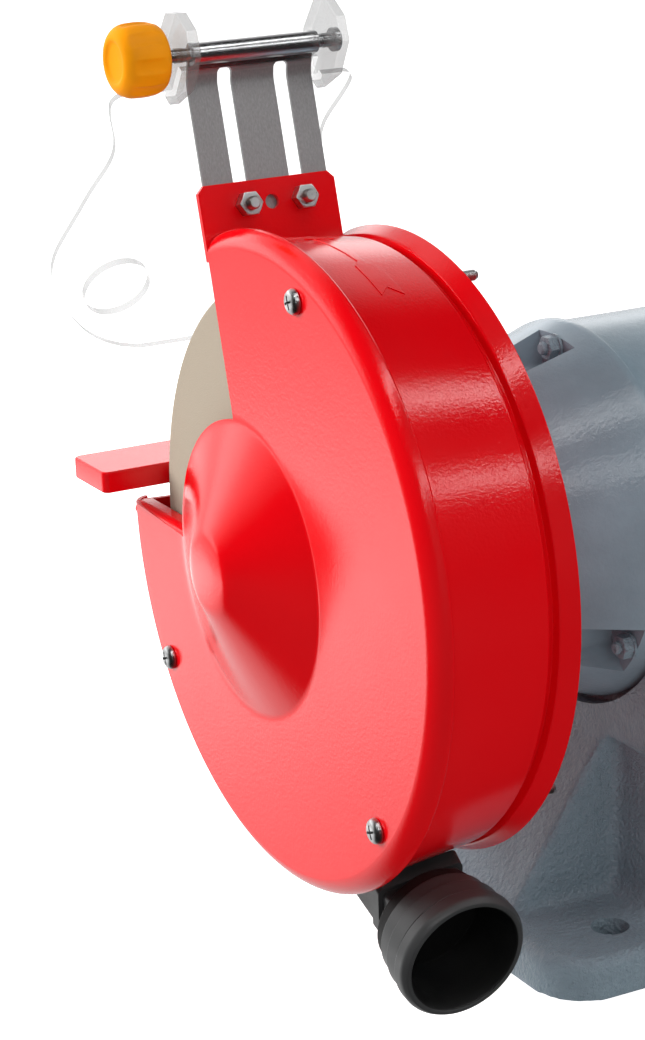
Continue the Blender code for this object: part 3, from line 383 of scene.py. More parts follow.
def lathe(profile, steps, y=0.0, z=SHAFT_Z, ease=0.0, ease_steps=3):
    """Turn (x, radius) points about a line along X through (y, z)."""
    on_axis = profile[0][1] < 1e-6 and profile[-1][1] < 1e-6
    if ease:
        profile = eased(profile, ease, ease_steps, closed=not on_axis)
    rings = [[(x, y, z)] if radius < 1e-6 else circle(x, radius, y, z, steps) for x, radius in profile]
    return stack(rings, closed=not on_axis)


def round_holes(places, x_low, x_high, steps=SMALL):
    """Cylinders along X at each (y, z, radius)."""
    return [lathe(disc(x_low, x_high, r), steps, y, z) for y, z, r in places]


def at_level(along, level, a, b):
    """A point at a level on one axis; a and b are the other two axes in X, Y, Z order."""
    return {"X": (level, a, b), "Y": (a, level, b), "Z": (a, b, level)}[along]


def prism(outline, low, high, along="X", ease=0.0):
    """Extrude a closed outline. With ease, the ends step in by that much, for a small chamfer."""
    levels = [(low, 0.0), (high, 0.0)]
    if ease:
        levels = [(low, ease), (low + 0.4 * ease, 0.3 * ease), (low + ease, 0.0),
                  (high - ease, 0.0), (high - 0.4 * ease, 0.3 * ease), (high, ease)]
    return stack([[at_level(along, level, a, b) for a, b in shrunk(outline, inset)]
                  for level, inset in levels])


def shrunk(outline, inset):
    """The outline moved inward by inset, each corner along its mitre."""
    if not inset:
        return outline
    points = [Vector(p) for p in outline]
    area = sum(points[k - 1].x * points[k].y - points[k].x * points[k - 1].y for k in range(len(points)))
    turn = 1.0 if area > 0 else -1.0
    result = []
    for k, p in enumerate(points):
        one = (p - points[k - 1]).normalized()
        two = (points[(k + 1) % len(points)] - p).normalized()
        normal = Vector((-one.y - two.y, one.x + two.x)) * turn
        normal.normalize()
        half = max(0.4, abs(normal.dot(Vector((-one.y, one.x)))))
        result.append(tuple(p + normal * inset / half))
    return result


def box(low, high, ease=0.0):
    corners = [(low[0], low[1]), (high[0], low[1]), (high[0], high[1]), (low[0], high[1])]
    return prism(corners, low[2], high[2], "Z", ease)


def rounded_rectangle(half_a, half_b, corner, steps=9):
    points = []
    for quarter, (sa, sb) in enumerate(((1, 1), (-1, 1), (-1, -1), (1, -1))):
        for k in range(steps):
            angle = pi / 2 * (quarter + k / (steps - 1))
            points.append((sa * (half_a - corner) + corner * cos(angle),
                           sb * (half_b - corner) + corner * sin(angle)))
    return points


def layered(sections, along="Z", middle=0.0):
    """Stack rounded rectangles; a section is a level and what rounded_rectangle needs."""
    return stack([[at_level(along, level, a, middle + b) for a, b in rounded_rectangle(*shape)]
                  for level, *shape in sections])


def spin(degrees, axis):
    return Matrix.Rotation(radians(degrees), 4, axis)


def linked(name, data):
    obj = bpy.data.objects.new(name, data)
    bpy.context.scene.collection.objects.link(obj)
    return obj


def new_object(name, bm):
    mesh = bpy.data.meshes.new(name)
    bm.to_mesh(mesh)
    bm.free()
    return linked(name, mesh)


def tidy_mesh(mesh):
    """Merge coincident points and drop faces without area, which a Boolean can leave behind."""
    bm = bmesh.new()
    bm.from_mesh(mesh)
    bmesh.ops.remove_doubles(bm, verts=bm.verts, dist=MERGE)
    bmesh.ops.dissolve_degenerate(bm, edges=bm.edges, dist=MERGE)
    bm.to_mesh(mesh)
    bm.free()


def baked(obj):
    """Put the object's evaluated mesh in place of its own and clear its modifiers."""
    bpy.context.view_layer.update()
    evaluated = obj.evaluated_get(bpy.context.evaluated_depsgraph_get())
    result = bpy.data.meshes.new_from_object(evaluated)
    obj.modifiers.clear()
    old = obj.data
    result.name = obj.name
    obj.data = result
    bpy.data.meshes.remove(old)
    return obj


def taken(obj):
    """The object's mesh, as a bmesh for more work; the object itself goes."""
    mesh = obj.data
    bm = bmesh.new()
    bm.from_mesh(mesh)
    bpy.data.objects.remove(obj)
    bpy.data.meshes.remove(mesh)
    return bm


def combine(obj, bm, operation):
    """Apply one EXACT Boolean with a temporary solid."""
    tool = new_object("tool", bm)
    modifier = obj.modifiers.new("cut", "BOOLEAN")
    modifier.object = tool
    modifier.operation = operation
    modifier.solver = "EXACT"
    baked(obj)
    taken(tool).free()
    tidy_mesh(obj.data)
    return obj


def gathered(solids):
    """One mesh of solids that don't touch each other."""
    whole = solids[0]
    for bm in solids[1:]:
        mesh = bpy.data.meshes.new("part_of_tool")
        bm.to_mesh(mesh)
        bm.free()
        whole.from_mesh(mesh)
        bpy.data.meshes.remove(mesh)
    return whole


def cut(obj, *solids):
    return combine(obj, gathered(solids), "DIFFERENCE")


def join(obj, *solids):
    return combine(obj, gathered(solids), "UNION")


def moved(bm, matrix):
    bm.transform(matrix)
    return bm


def soften(obj, width, angle=38.0, segments=2):
    """Round the sharp edges that cutting left."""
    modifier = obj.modifiers.new("soften", "BEVEL")
    modifier.width = width
    modifier.segments = segments
    modifier.limit_method = "ANGLE"
    modifier.angle_limit = radians(angle)
    modifier.harden_normals = False
    return baked(obj)


def shade(obj, sharp=32.0):
    """Smooth shading with sharp edges kept, and normals that follow the larger faces."""
    obj.data.shade_smooth()
    obj.data.set_sharp_from_angle(angle=radians(sharp))
    modifier = obj.modifiers.new("normals", "WEIGHTED_NORMAL")
    modifier.keep_sharp = True
    baked(obj)


def stand_in(obj, node, material=None, sharp=32.0):
    """The finished piece rides on the node's body and is shown in its place."""
    obj.name = "fine_" + node
    obj.data.name = obj.name
    obj.data.materials.clear()
    obj.data.materials.append(material or FINISH[SLOT[node]])
    shade(obj, sharp)
    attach(obj, BODY[node])
    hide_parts(node)


def mirrored(obj):
    """A copy on the other side of the machine."""
    mesh = obj.data.copy()
    mesh.transform(Matrix.Scale(-1.0, 4, (1, 0, 0)))
    mesh.flip_normals()
    return linked("left", mesh)


def both_sides(obj, node, material=None, sharp=32.0):
    """The right-hand piece and its mirror image on the left."""
    if isinstance(obj, bmesh.types.BMesh):
        obj = new_object(node, obj)
    left = mirrored(obj)
    stand_in(obj, "right_" + node, material, sharp)
    stand_in(left, "left_" + node, material, sharp)


def paint_faces(node, materials, choose):
    """Give faces of a pair a second or third material; choose sees them as on the right-hand piece."""
    for side, sign in (("right", 1.0), ("left", -1.0)):
        mesh = bpy.data.objects["fine_%s_%s" % (side, node)].data
        flip = Matrix.Scale(sign, 4, (1, 0, 0))
        for material in materials:
            mesh.materials.append(material)
        for face in mesh.polygons:
            face.material_index = choose(flip @ face.center, flip @ face.normal)


def hex_nut(x_low, x_high, across_flats, y=0.0, z=0.0, bevel_low=True, bevel_high=True):
    """A hexagonal prism along X whose corners are turned off by a cone at its free faces."""
    radius = across_flats / sqrt(3.0)
    outline = [(y + radius * cos(a), z + radius * sin(a)) for a in angles_round(6)]
    obj = new_object("nut", prism(outline, x_low, x_high))
    flat = across_flats / 2 * 0.96
    big = radius * 1.1
    grow = (big - flat) * 0.55
    profile = [(x_low - 0.001, 0.0)]
    if bevel_low:
        profile += [(x_low - 0.001, flat), (x_low, flat), (x_low + grow, big)]
    else:
        profile += [(x_low - 0.001, big)]
    if bevel_high:
        profile += [(x_high - grow, big), (x_high, flat), (x_high + 0.001, flat)]
    else:
        profile += [(x_high + 0.001, big)]
    profile += [(x_high + 0.001, 0.0)]
    return taken(combine(obj, lathe(profile, SMALL, y, z), "INTERSECT"))


def threads(x_low, x_high, radius, pitch=0.0008, depth=0.0003):
    """Profile points of a thread's ridges between two places along X."""
    count = max(2, int(round(abs(x_high - x_low) / pitch)))
    step = (x_high - x_low) / count
    points = []
    for k in range(count):
        points.append((x_low + step * k, radius - depth))
        points.append((x_low + step * (k + 0.5), radius))
    points.append((x_high, radius - depth))
    return points


# ---- places shared by several pieces ----
def tab_point(n, s, x=0.0):
    """A point n behind the tab's rear face and s above its root."""
    y = TAB_Y - s * sin(LEAN) + n * cos(LEAN)
    z = TAB_Z + s * cos(LEAN) + n * sin(LEAN)
    return Vector((x, y, SHAFT_Z + z))


def tab_prism(outline, x_low, x_high, ease=0.0):
    """Extrude an outline of (n, s) points along X."""
    points = [tab_point(n, s) for n, s in outline]
    return prism([(p.y, p.z) for p in points], x_low, x_high, ease=ease)


def tab_matrix(x, s):
    """Turns a solid made along X so that +X points forward, square to the tab."""
    turn = spin(-90.0, "Z")
    lean = Matrix.Rotation(LEAN, 4, "X")
    return Matrix.Translation(tab_point(0.0, s, x)) @ lean @ turn


def tab_sheet(outline, n_low, n_high, ease=0.0):
    """A sheet on the tab's plane from an outline of (x, s) points."""
    place = Matrix.Translation(tab_point(0.0, 0.0)) @ Matrix.Rotation(LEAN, 4, "X")
    return moved(prism(outline, n_low, n_high, "Y", ease), place)


def outlet_matrix(v, roll=0.0):
    """Turns a solid made along X so that +X follows the dust outlet, v above the shaft."""
    turn = spin(90.0, "Z")
    drop = Matrix.Rotation(-OUTLET_DROP, 4, "X")
    place = Matrix.Translation((OUTLET_X, v * sin(OUTLET_DROP), SHAFT_Z + v * cos(OUTLET_DROP)))
    return place @ drop @ turn @ Matrix.Rotation(roll, 4, "X")


def adaptor_loft(sections, corner=0.003):
    """Rounded rectangles (along, half width, low, high) stacked along the outlet's direction."""
    rings = []
    for along, half_x, low, high in sections:
        middle = (low + high) / 2
        outline = rounded_rectangle(half_x, (high - low) / 2, corner, 6)
        rings.append([(along, a, b + middle) for a, b in outline])
    return moved(stack(rings), outlet_matrix(ADAPTOR_V, OUTLET_ROLL))


def on_circle(radius, degrees):
    a = radians(degrees)
    return radius * cos(a), SHAFT_Z + radius * sin(a)


def opening_prism(inner_y, inner_z, inner_r, shift, x_low, x_high, steps=40):
    """The guard's open quarter: straight upper and lower edges and a round inner edge."""
    far = 2.0 * COVER_R
    top = tab_point(shift, 0.0)
    top_out = tab_point(shift, far)
    low_z = COVER_R * sin(OPEN_LOW)
    start = atan2(0.069 - inner_z, -0.029 + shift - inner_y)
    end = atan2(low_z - 0.004 - inner_z, -inner_r) + 2.0 * pi
    outline = [(top_out.y - far, top_out.z), (top_out.y, top_out.z), (top.y, top.z)]
    for k in range(steps + 1):
        a = start + (end - start) * k / steps
        outline.append((inner_y + inner_r * cos(a), SHAFT_Z + inner_z + inner_r * sin(a)))
    outline.append((-COVER_R, SHAFT_Z + low_z))
    outline.append((-far, SHAFT_Z + low_z))
    return prism(outline, x_low, x_high)


# ---- guards ----
CAP_Y, CAP_Z, CAP_R = -0.0022, 0.001, 0.0172    # the bulge's nearly flat top
HUB_APEX = BULGE_R / (BULGE_R - CAP_R)           # where the bulge's circles shrink to a point


def smooth_max(a, b, width):
    return max(a, b) + max(width - abs(a - b), 0.0) ** 2 / (4.0 * width)


def hub_circle(t):
    """Centre and radius of the bulge's circle at t: 0 is its foot, 1 its tip."""
    return BULGE_Y * (1 - t) + CAP_Y * t, BULGE_Z * (1 - t) + CAP_Z * t, BULGE_R + (CAP_R - BULGE_R) * t


def hub_height(t, a):
    """Height of the pressed face: a slanting cone, a little hollow on its far side, and a low dome."""
    away = min(1.0, max(0.0, (abs(remainder(a, 2 * pi)) - 1.2) / 1.2))
    cone = (BULGE_HEIGHT - 0.0014) * (t if t <= 0.0 else t ** (1.0 + 0.06 * away))
    dome = BULGE_HEIGHT - 0.0003 - 0.0011 * ((HUB_APEX - t) / (HUB_APEX - 1.0)) ** 2
    height = -smooth_max(-cone, -dome, 0.0012)
    return smooth_max(height, 0.0, 0.0009 + 0.001 * away)


def cover_skin(inset):
    """Rings from the hub's tip to the rim; inset moves them inward by the sheet's thickness."""
    levels = [HUB_APEX, 1.26, 1.22, 1.18, 1.14, 1.11, 1.08, 1.05, 1.02, 0.99, 0.96, 0.93, 0.89, 0.84, 0.77,
              0.68, 0.58, 0.48, 0.38, 0.3, 0.23, 0.17, 0.12, 0.09, 0.06, 0.04, 0.02, 0.01, 0.0, -0.01, -0.02,
              -0.04, -0.07, -0.11, -0.16, -0.2]
    rings = []
    for t in levels:
        cy, cz, radius = hub_circle(t)
        if radius < 1e-4:
            rings.append([(FACE_X - inset + hub_height(t, 0.0), cy, SHAFT_Z + cz)])
            continue
        ring = []
        for a in angles_round(HUGE):
            y, z = cy + (radius - inset * 0.5) * cos(a), cz + (radius - inset * 0.5) * sin(a)
            ring.append((FACE_X - inset + hub_height(t, a), y, SHAFT_Z + z))
        rings.append(ring)
    cy, cz, radius = hub_circle(levels[-1])
    edge = COVER_R - RIM_REACH
    for k in range(1, 7):
        s = k / 7
        rings.append(circle(FACE_X - inset, radius + (edge - radius) * s, cy * (1 - s),
                            SHAFT_Z + cz * (1 - s)))
    for k in range(19):
        b = pi / 2 * k / 18
        x = FACE_X - RIM_DROP + (RIM_DROP - inset) * cos(b) ** 1.3
        r = edge + (RIM_REACH - inset) * sin(b) ** 1.3
        rings.append(circle(x, r))
    return rings


def opening_lip():
    """The cover's edge under the opening, turned inward on a small radius."""
    top = SHAFT_Z + COVER_R * sin(OPEN_LOW)
    bend, reach, thick = 0.0042, 0.009, 0.0016
    turn = [(cos(pi / 2 * k / 8), sin(pi / 2 * k / 8)) for k in range(9)]
    outer = [(FACE_X - bend + bend * c, top - bend + bend * d) for c, d in turn]
    inner = [(FACE_X - bend + (bend - thick) * c, top - bend + (bend - thick) * d) for c, d in turn]
    outline = [(FACE_X - 0.0002, top - bend - 0.0008)] + outer
    outline += [(FACE_X - reach, top), (FACE_X - reach, top - thick)] + inner[::-1]
    outline += [(FACE_X - thick, top - bend - 0.0008)]
    return prism(outline, -0.1425, -0.086, "Y")


def guard_cover():
    outer, inner = cover_skin(0.0), cover_skin(SHEET)
    end = COVER_LOW.x
    lip = [(end + 0.0006, COVER_R), (end, COVER_R - 0.0005), (end, COVER_R - SHEET + 0.0005),
           (end + 0.0006, COVER_R - SHEET)]
    rim = [circle(x, r) for x, r in lip]
    obj = new_object("guard_cover", stack(outer + rim + inner[::-1]))
    opening = opening_prism(BULGE_Y, BULGE_Z, BULGE_R, 0.0005, FACE_X - 0.02, FACE_X + 0.04)
    cut(obj, opening)
    join(obj, opening_lip())
    holes = [on_circle(BOLT_CIRCLE, degrees) + (BOLT_HOLE_R,) for degrees in BOLT_ANGLES]
    cut(obj, *round_holes(holes, FACE_X - 0.005, FACE_X + 0.003))
    soften(obj, 0.0006, 50.0)
    both_sides(obj, "guard_cover", sharp=40.0)


def guard_body():
    mid_r = 0.0012
    profile = [(0.2345, 0.145), (0.1804, 0.1392, mid_r), (0.1797, 0.1354, 0.0004), (0.1766, 0.1354, 0.0004),
               (0.176, 0.1394, 0.0009), (0.1752, 0.1399, 0.0004), (BACK_X, 0.1432, 0.0009), (BACK_X, 0.02),
               (BACK_X + SHEET, 0.02), (BACK_X + SHEET, 0.1395), (0.1745, 0.1342), (0.1814, 0.1342),
               (0.182, 0.137), (0.2345, 0.143)]
    obj = new_object("guard_body", lathe(eased(profile, 0.0003, 4), HUGE))
    inside = [(0.172, 0.0), (0.172, 0.1335), (0.1822, 0.1335), (0.24, 0.1412), (0.24, 0.0)]
    cut(obj, lathe(inside, HUGE))
    cut(obj, adaptor_loft([(0.035, 0.0219, -0.006, 0.0216), (0.13, 0.0219, -0.021, 0.0216)]))
    cut(obj, opening_prism(0.0, 0.0, 0.092, -0.0008, BACK_X - 0.01, FACE_X + 0.01))
    low_edge = SHAFT_Z + COVER_R * sin(OPEN_LOW)
    step_z = REST_LOW.z - 0.0012
    step = [(-0.138, low_edge - 0.004), (-0.134, step_z, 0.002), (-0.09, step_z, 0.002),
            (-0.09, low_edge - 0.004)]
    join(obj, prism(eased(step, 0.0), BACK_X, BACK_X + SHEET))
    chamfer = 0.0032
    outline = [(TAB_LOW_X, -0.011), (TAB_HIGH_X, -0.011), (TAB_HIGH_X, TAB_TOP - chamfer),
               (TAB_HIGH_X - chamfer, TAB_TOP), (TAB_LOW_X + chamfer, TAB_TOP),
               (TAB_LOW_X, TAB_TOP - chamfer)]
    join(obj, tab_sheet(outline, -TAB_THICK, 0.0))
    tab_holes = round_holes([(0.0, 0.0, M6_CLEAR_R)] * len(TAB_HOLES_X), -0.006, 0.006)
    cut(obj, *[moved(hole, tab_matrix(x, TAB_BOLT_S)) for hole, x in zip(tab_holes, TAB_HOLES_X)])
    holes = [on_circle(BOLT_CIRCLE, degrees) + (BOLT_HOLE_R,) for degrees in BOLT_ANGLES]
    holes.append((REST_BOLT_Y, SHAFT_Z + REST_BOLT_Z, 0.0043))
    cut(obj, *round_holes(holes, BACK_X - 0.004, BACK_X + 0.005))
    soften(obj, 0.0004, 50.0)
    both_sides(obj, "guard_body", sharp=40.0)


def direction_arrow():
    """Plain raised arrow on the band, pointing the way the wheel turns over the top."""
    middle, lift = 0.2052, 0.0004
    rows = [(97.0, 0.0004), (95.0, 0.0035), (92.2, 0.0072), (92.0, 0.0034), (88.0, 0.0032), (84.0, 0.0028),
            (80.0, 0.0022), (77.0, 0.0017), (75.2, 0.0052), (73.0, 0.0054), (70.6, 0.0055), (68.2, 0.0056),
            (65.0, 0.0056)]
    notches = {68.2: 1.2, 65.0: 2.4}
    columns = (-1.0, -0.5, 0.0, 0.5, 1.0)
    bm = bmesh.new()
    grid = []
    for degrees, half in rows:
        row = []
        for j in columns:
            x = middle + j * half
            radius = BAND_R + (x - BAND_X) * BAND_SLOPE + lift
            y, z = on_circle(radius, degrees + notches.get(degrees, 0.0) * (1.0 - abs(j)))
            row.append(bm.verts.new((x, y, z)))
        grid.append(row)
    for tail, tip in zip(grid, grid[1:]):
        for j in range(len(columns) - 1):
            bm.faces.new((tail[j], tail[j + 1], tip[j + 1], tip[j]))
    obj = new_object("right_direction_arrow", bm)
    plate = obj.modifiers.new("plate", "SOLIDIFY")
    plate.thickness = 0.0008
    plate.offset = -1.0
    baked(obj)
    soften(obj, 0.0003, 50.0)
    for side, piece in (("right", obj), ("left", mirrored(obj))):
        piece.name = side + "_direction_arrow"
        piece.data.materials.append(FINISH["red_paint"])
        shade(piece, 40.0)
        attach(piece, BODY[side + "_guard_body"])


def cover_bolts():
    """Pan-head screws with a cross recess, their nuts behind the guard's back plate."""
    for number, degrees in enumerate(BOLT_ANGLES, 1):
        y, z = on_circle(BOLT_CIRCLE, degrees)
        head = FACE_X + GAP
        dome = [(head + 0.0034 * cos(a) ** 0.9 if a < 1.56 else head + 0.0004, 0.0058 * sin(a) ** 0.55)
                for a in (0.0001, 0.12, 0.3, 0.52, 0.75, 1.0, 1.25, 1.45, 1.57)]
        dome[0] = (head + 0.0034, 0.0)
        profile = dome + [(head, 0.0057), (head, 0.0025), (0.16, 0.0025)]
        profile += threads(0.159, 0.153, 0.0025) + [(0.152, 0.0018), (0.152, 0.0)]
        obj = new_object("cover_bolt", lathe(profile, SMALL, y, z))
        for turn in (20.0, 110.0):
            arm = box((-0.0022, -0.00055, -0.0031), (0.0022, 0.00055, 0.0031))
            place = Matrix.Translation((head + 0.0036, y, z)) @ spin(turn, "X")
            cut(obj, moved(arm, place))
        join(obj, hex_nut(0.162, BACK_X - GAP, 0.0098, y, z, bevel_high=False))
        both_sides(obj, "cover_bolt_%d" % number)


def wheel():
    bore = SPINDLE_R + GAP
    low, high = WHEEL_LOW.x, WHEEL_HIGH.x
    profile = [(high, bore), (high, 0.03), (high, 0.06), (high, 0.095), (high, WHEEL_R, 0.0016),
               (low, WHEEL_R, 0.0016), (low, bore)]
    both_sides(lathe(eased(profile, 0.0, 5), HUGE), "wheel")


def flanges():
    bore = SPINDLE_R + GAP
    low, high = WHEEL_LOW.x, WHEEL_HIGH.x
    inner = [(low - GAP, bore), (low - GAP, 0.042), (low - 0.003, 0.042), (low - 0.0065, 0.026),
             (low - 0.011, 0.02), (low - 0.011, bore)]
    both_sides(lathe(inner, MID, ease=0.0007), "inner_flange")
    outer = [(high + GAP, bore), (high + GAP, 0.042), (high + 0.0025, 0.042), (high + 0.006, 0.024),
             (high + 0.006, bore)]
    both_sides(lathe(outer, MID, ease=0.0007), "outer_flange")
    start = high + 0.006 + GAP
    nut = new_object("spindle_nut", hex_nut(start, start + 0.013, 0.03, 0.0, SHAFT_Z))
    cut(nut, *round_holes([(0.0, SHAFT_Z, SPINDLE_R + GAP)], start - 0.002, start + 0.02, MID))
    both_sides(nut, "spindle_nut")


# ---- rest, spark plate, eye shield ----
def tool_rest():
    low, high = REST_LOW, REST_HIGH
    middle_x, half_x = (low.x + high.x) / 2, (high.x - low.x) / 2
    middle_y, half_y = (low.y + high.y) / 2, (high.y - low.y) / 2
    outline = [(middle_x + a, middle_y + b) for a, b in rounded_rectangle(half_x, half_y, 0.0035)]
    both_sides(prism(outline, low.z, high.z, "Z", 0.0009), "tool_rest", sharp=50.0)


def rest_arm():
    """Slotted arm under the rest, on the motor side of the back plate."""
    low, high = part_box("right_rest_arm")
    under = high.z
    z = SHAFT_Z + REST_BOLT_Z
    outline = [(low.y, under), (low.y, under - 0.006, 0.002), (-0.142, z - 0.013, 0.004),
               (-0.09, z - 0.013, 0.006), (high.y, z - 0.007, 0.006), (high.y, z + 0.007, 0.006),
               (-0.09, z + 0.013, 0.006), (-0.124, z + 0.013, 0.004), (-0.132, z + 0.022, 0.003),
               (-0.132, under)]
    obj = new_object("rest_arm", prism(eased(outline, 0.0004, 4), low.x, high.x, ease=0.0006))
    slot = []
    for centre, start in ((-0.096, -90.0), (REST_BOLT_Y - 0.0022, 90.0)):
        for k in range(17):
            a = radians(start + 180.0 * k / 16)
            slot.append((centre + 0.0045 * cos(a), z + 0.0045 * sin(a)))
    cut(obj, prism(slot, low.x - 0.002, high.x + 0.002))
    both_sides(obj, "rest_arm")


def rest_bolt():
    y, z = REST_BOLT_Y, SHAFT_Z + REST_BOLT_Z
    face = BACK_X - 2 * GAP - 0.0055
    end = BACK_X + 0.011
    profile = [(face - 0.0016, 0.0), (face - 0.0016, 0.0085), (face, 0.0085), (face, 0.0039),
               (end - 0.0035, 0.0039)]
    profile += threads(end - 0.0035, end - 0.0006, 0.0039) + [(end, 0.0032), (end, 0.0)]
    obj = new_object("rest_bolt", lathe(profile, SMALL, y, z))
    join(obj, hex_nut(face - 0.007, face - 0.0012, 0.013, y, z, bevel_high=False))
    join(obj, hex_nut(BACK_X + SHEET + GAP, BACK_X + SHEET + 0.0065, 0.013, y, z))
    both_sides(obj, "rest_bolt")


def slotted_plate():
    """Spark plate: flat, two slots with round ends, its top turned back and rolled round the shield rod."""
    half = PLATE_THICK / 2
    flat_n = -TAB_THICK - GAP - half
    eye_r = EYE_R - half
    path = [(flat_n, 0.004), (flat_n, 0.03), (flat_n, PLATE_BEND_S)]
    reach = ROD_N - eye_r - flat_n
    for k in range(1, 12):
        t = k / 12
        path.append((flat_n + reach * (3 * t * t - 2 * t ** 3), PLATE_BEND_S + (ROD_S - PLATE_BEND_S) * t))
    for k in range(41):
        a = pi - radians(300.0) * k / 40
        path.append((ROD_N + eye_r * cos(a), ROD_S + eye_r * sin(a)))
    left, right = [], []
    for k, (n, s) in enumerate(path):
        before, after = path[max(k - 1, 0)], path[min(k + 1, len(path) - 1)]
        dn, ds = after[0] - before[0], after[1] - before[1]
        length = hypot(dn, ds)
        left.append((n - half * ds / length, s + half * dn / length))
        right.append((n + half * ds / length, s - half * dn / length))
    obj = new_object("slotted_plate", tab_prism(left + right[::-1], PLATE_LOW_X, PLATE_HIGH_X))
    slots = []
    for x in SLOT_X:
        middle, half_length = (0.0085 + 0.0735) / 2, (0.0735 - 0.0085) / 2
        outline = [(x + a, middle + b) for a, b in rounded_rectangle(SLOT_W / 2, half_length, 0.0022)]
        slots.append(tab_sheet(outline, -0.01, 0.0))
    cut(obj, *slots)
    soften(obj, 0.00025, 60.0)
    both_sides(obj, "slotted_plate", sharp=40.0)


def plate_bolts():
    """Hex bolts holding the slotted plate on the tab, their nuts on the rear face."""
    for number, x in enumerate(SLOT_X, 1):
        front = TAB_THICK + PLATE_THICK + 2 * GAP
        profile = [(-0.0095, 0.0), (-0.0095, 0.0022), (-0.009, 0.0027)] + threads(-0.0088, -0.0058, 0.003)
        profile += [(front, 0.0028), (front, 0.006), (front + 0.0012, 0.006), (front + 0.0012, 0.0)]
        obj = new_object("plate_bolt", lathe(profile, SMALL, 0.0, 0.0))
        join(obj, hex_nut(front + 0.001, front + 0.005, 0.01, bevel_low=False))
        join(obj, hex_nut(-0.006, -GAP, 0.01, bevel_high=False))
        obj.data.transform(tab_matrix(x, TAB_BOLT_S))
        both_sides(obj, "plate_bolt_%d" % number)


def shield_rod():
    low, high = ROD_LOW.x, ROD_HIGH.x
    profile = [(low, 0.0), (low, 0.0055), (low + 0.003, 0.0055), (low + 0.003, ROD_R), (high, ROD_R),
               (high, 0.0)]
    both_sides(lathe(profile, SMALL, ROD_Y, ROD_Z, ease=0.0006), "shield_rod")


def shield_knob():
    """Round knob with eight shallow flutes that stop short of both ends, and a dished outer face."""
    low, high = KNOB_LOW.x, KNOB_HIGH.x
    length = high - low
    levels = [(0.0, 0.0128), (0.027, 0.0138), (0.081, 0.0148), (0.16, 0.0155), (0.21, 0.0158), (0.252, 0.016),
              (0.3, 0.0161), (0.36, 0.0163), (0.495, 0.0164), (0.63, 0.0163), (0.7, 0.0162), (0.75, 0.016),
              (0.8, 0.0157), (0.85, 0.0152), (0.905, 0.0143), (0.955, 0.0131), (0.985, 0.012), (1.0, 0.0108),
              (0.996, 0.0099), (0.978, 0.0091), (0.95, 0.0084), (0.935, 0.007)]
    rings = []
    for along, radius in levels:
        swell = max(0.0, 1.0 - (abs(along - 0.5) / 0.36) ** 4) if along < 0.9 else 0.0
        ring = []
        for a in angles_round(192):
            flute = max(0.0, cos(8.0 * a + 0.6)) ** 0.55
            r = radius * (1.0 - 0.075 * swell * flute)
            ring.append((low + along * length, ROD_Y + r * cos(a), ROD_Z + r * sin(a)))
        rings.append(ring)
    rings.append([(high - 0.0016, ROD_Y, ROD_Z)])
    obj = new_object("shield_knob", stack(rings))
    cut(obj, *round_holes([(ROD_Y, ROD_Z, ROD_R + GAP)], low - 0.002, ROD_HIGH.x + 0.0005))
    both_sides(obj, "shield_knob", sharp=45.0)


def shield_half_width(s):
    """Half width of the clear pane at a distance s below the rod."""
    waist = 0.0615 - 0.0085 * exp(-((s - 0.053) / 0.02) ** 2)
    lobe = 0.0095 * exp(-((s - 0.118) / 0.026) ** 2)
    width = waist + lobe
    if s > 0.128:
        width *= sqrt(max(0.0, 1.0 - ((s - 0.128) / 0.0585) ** 2))
    return width


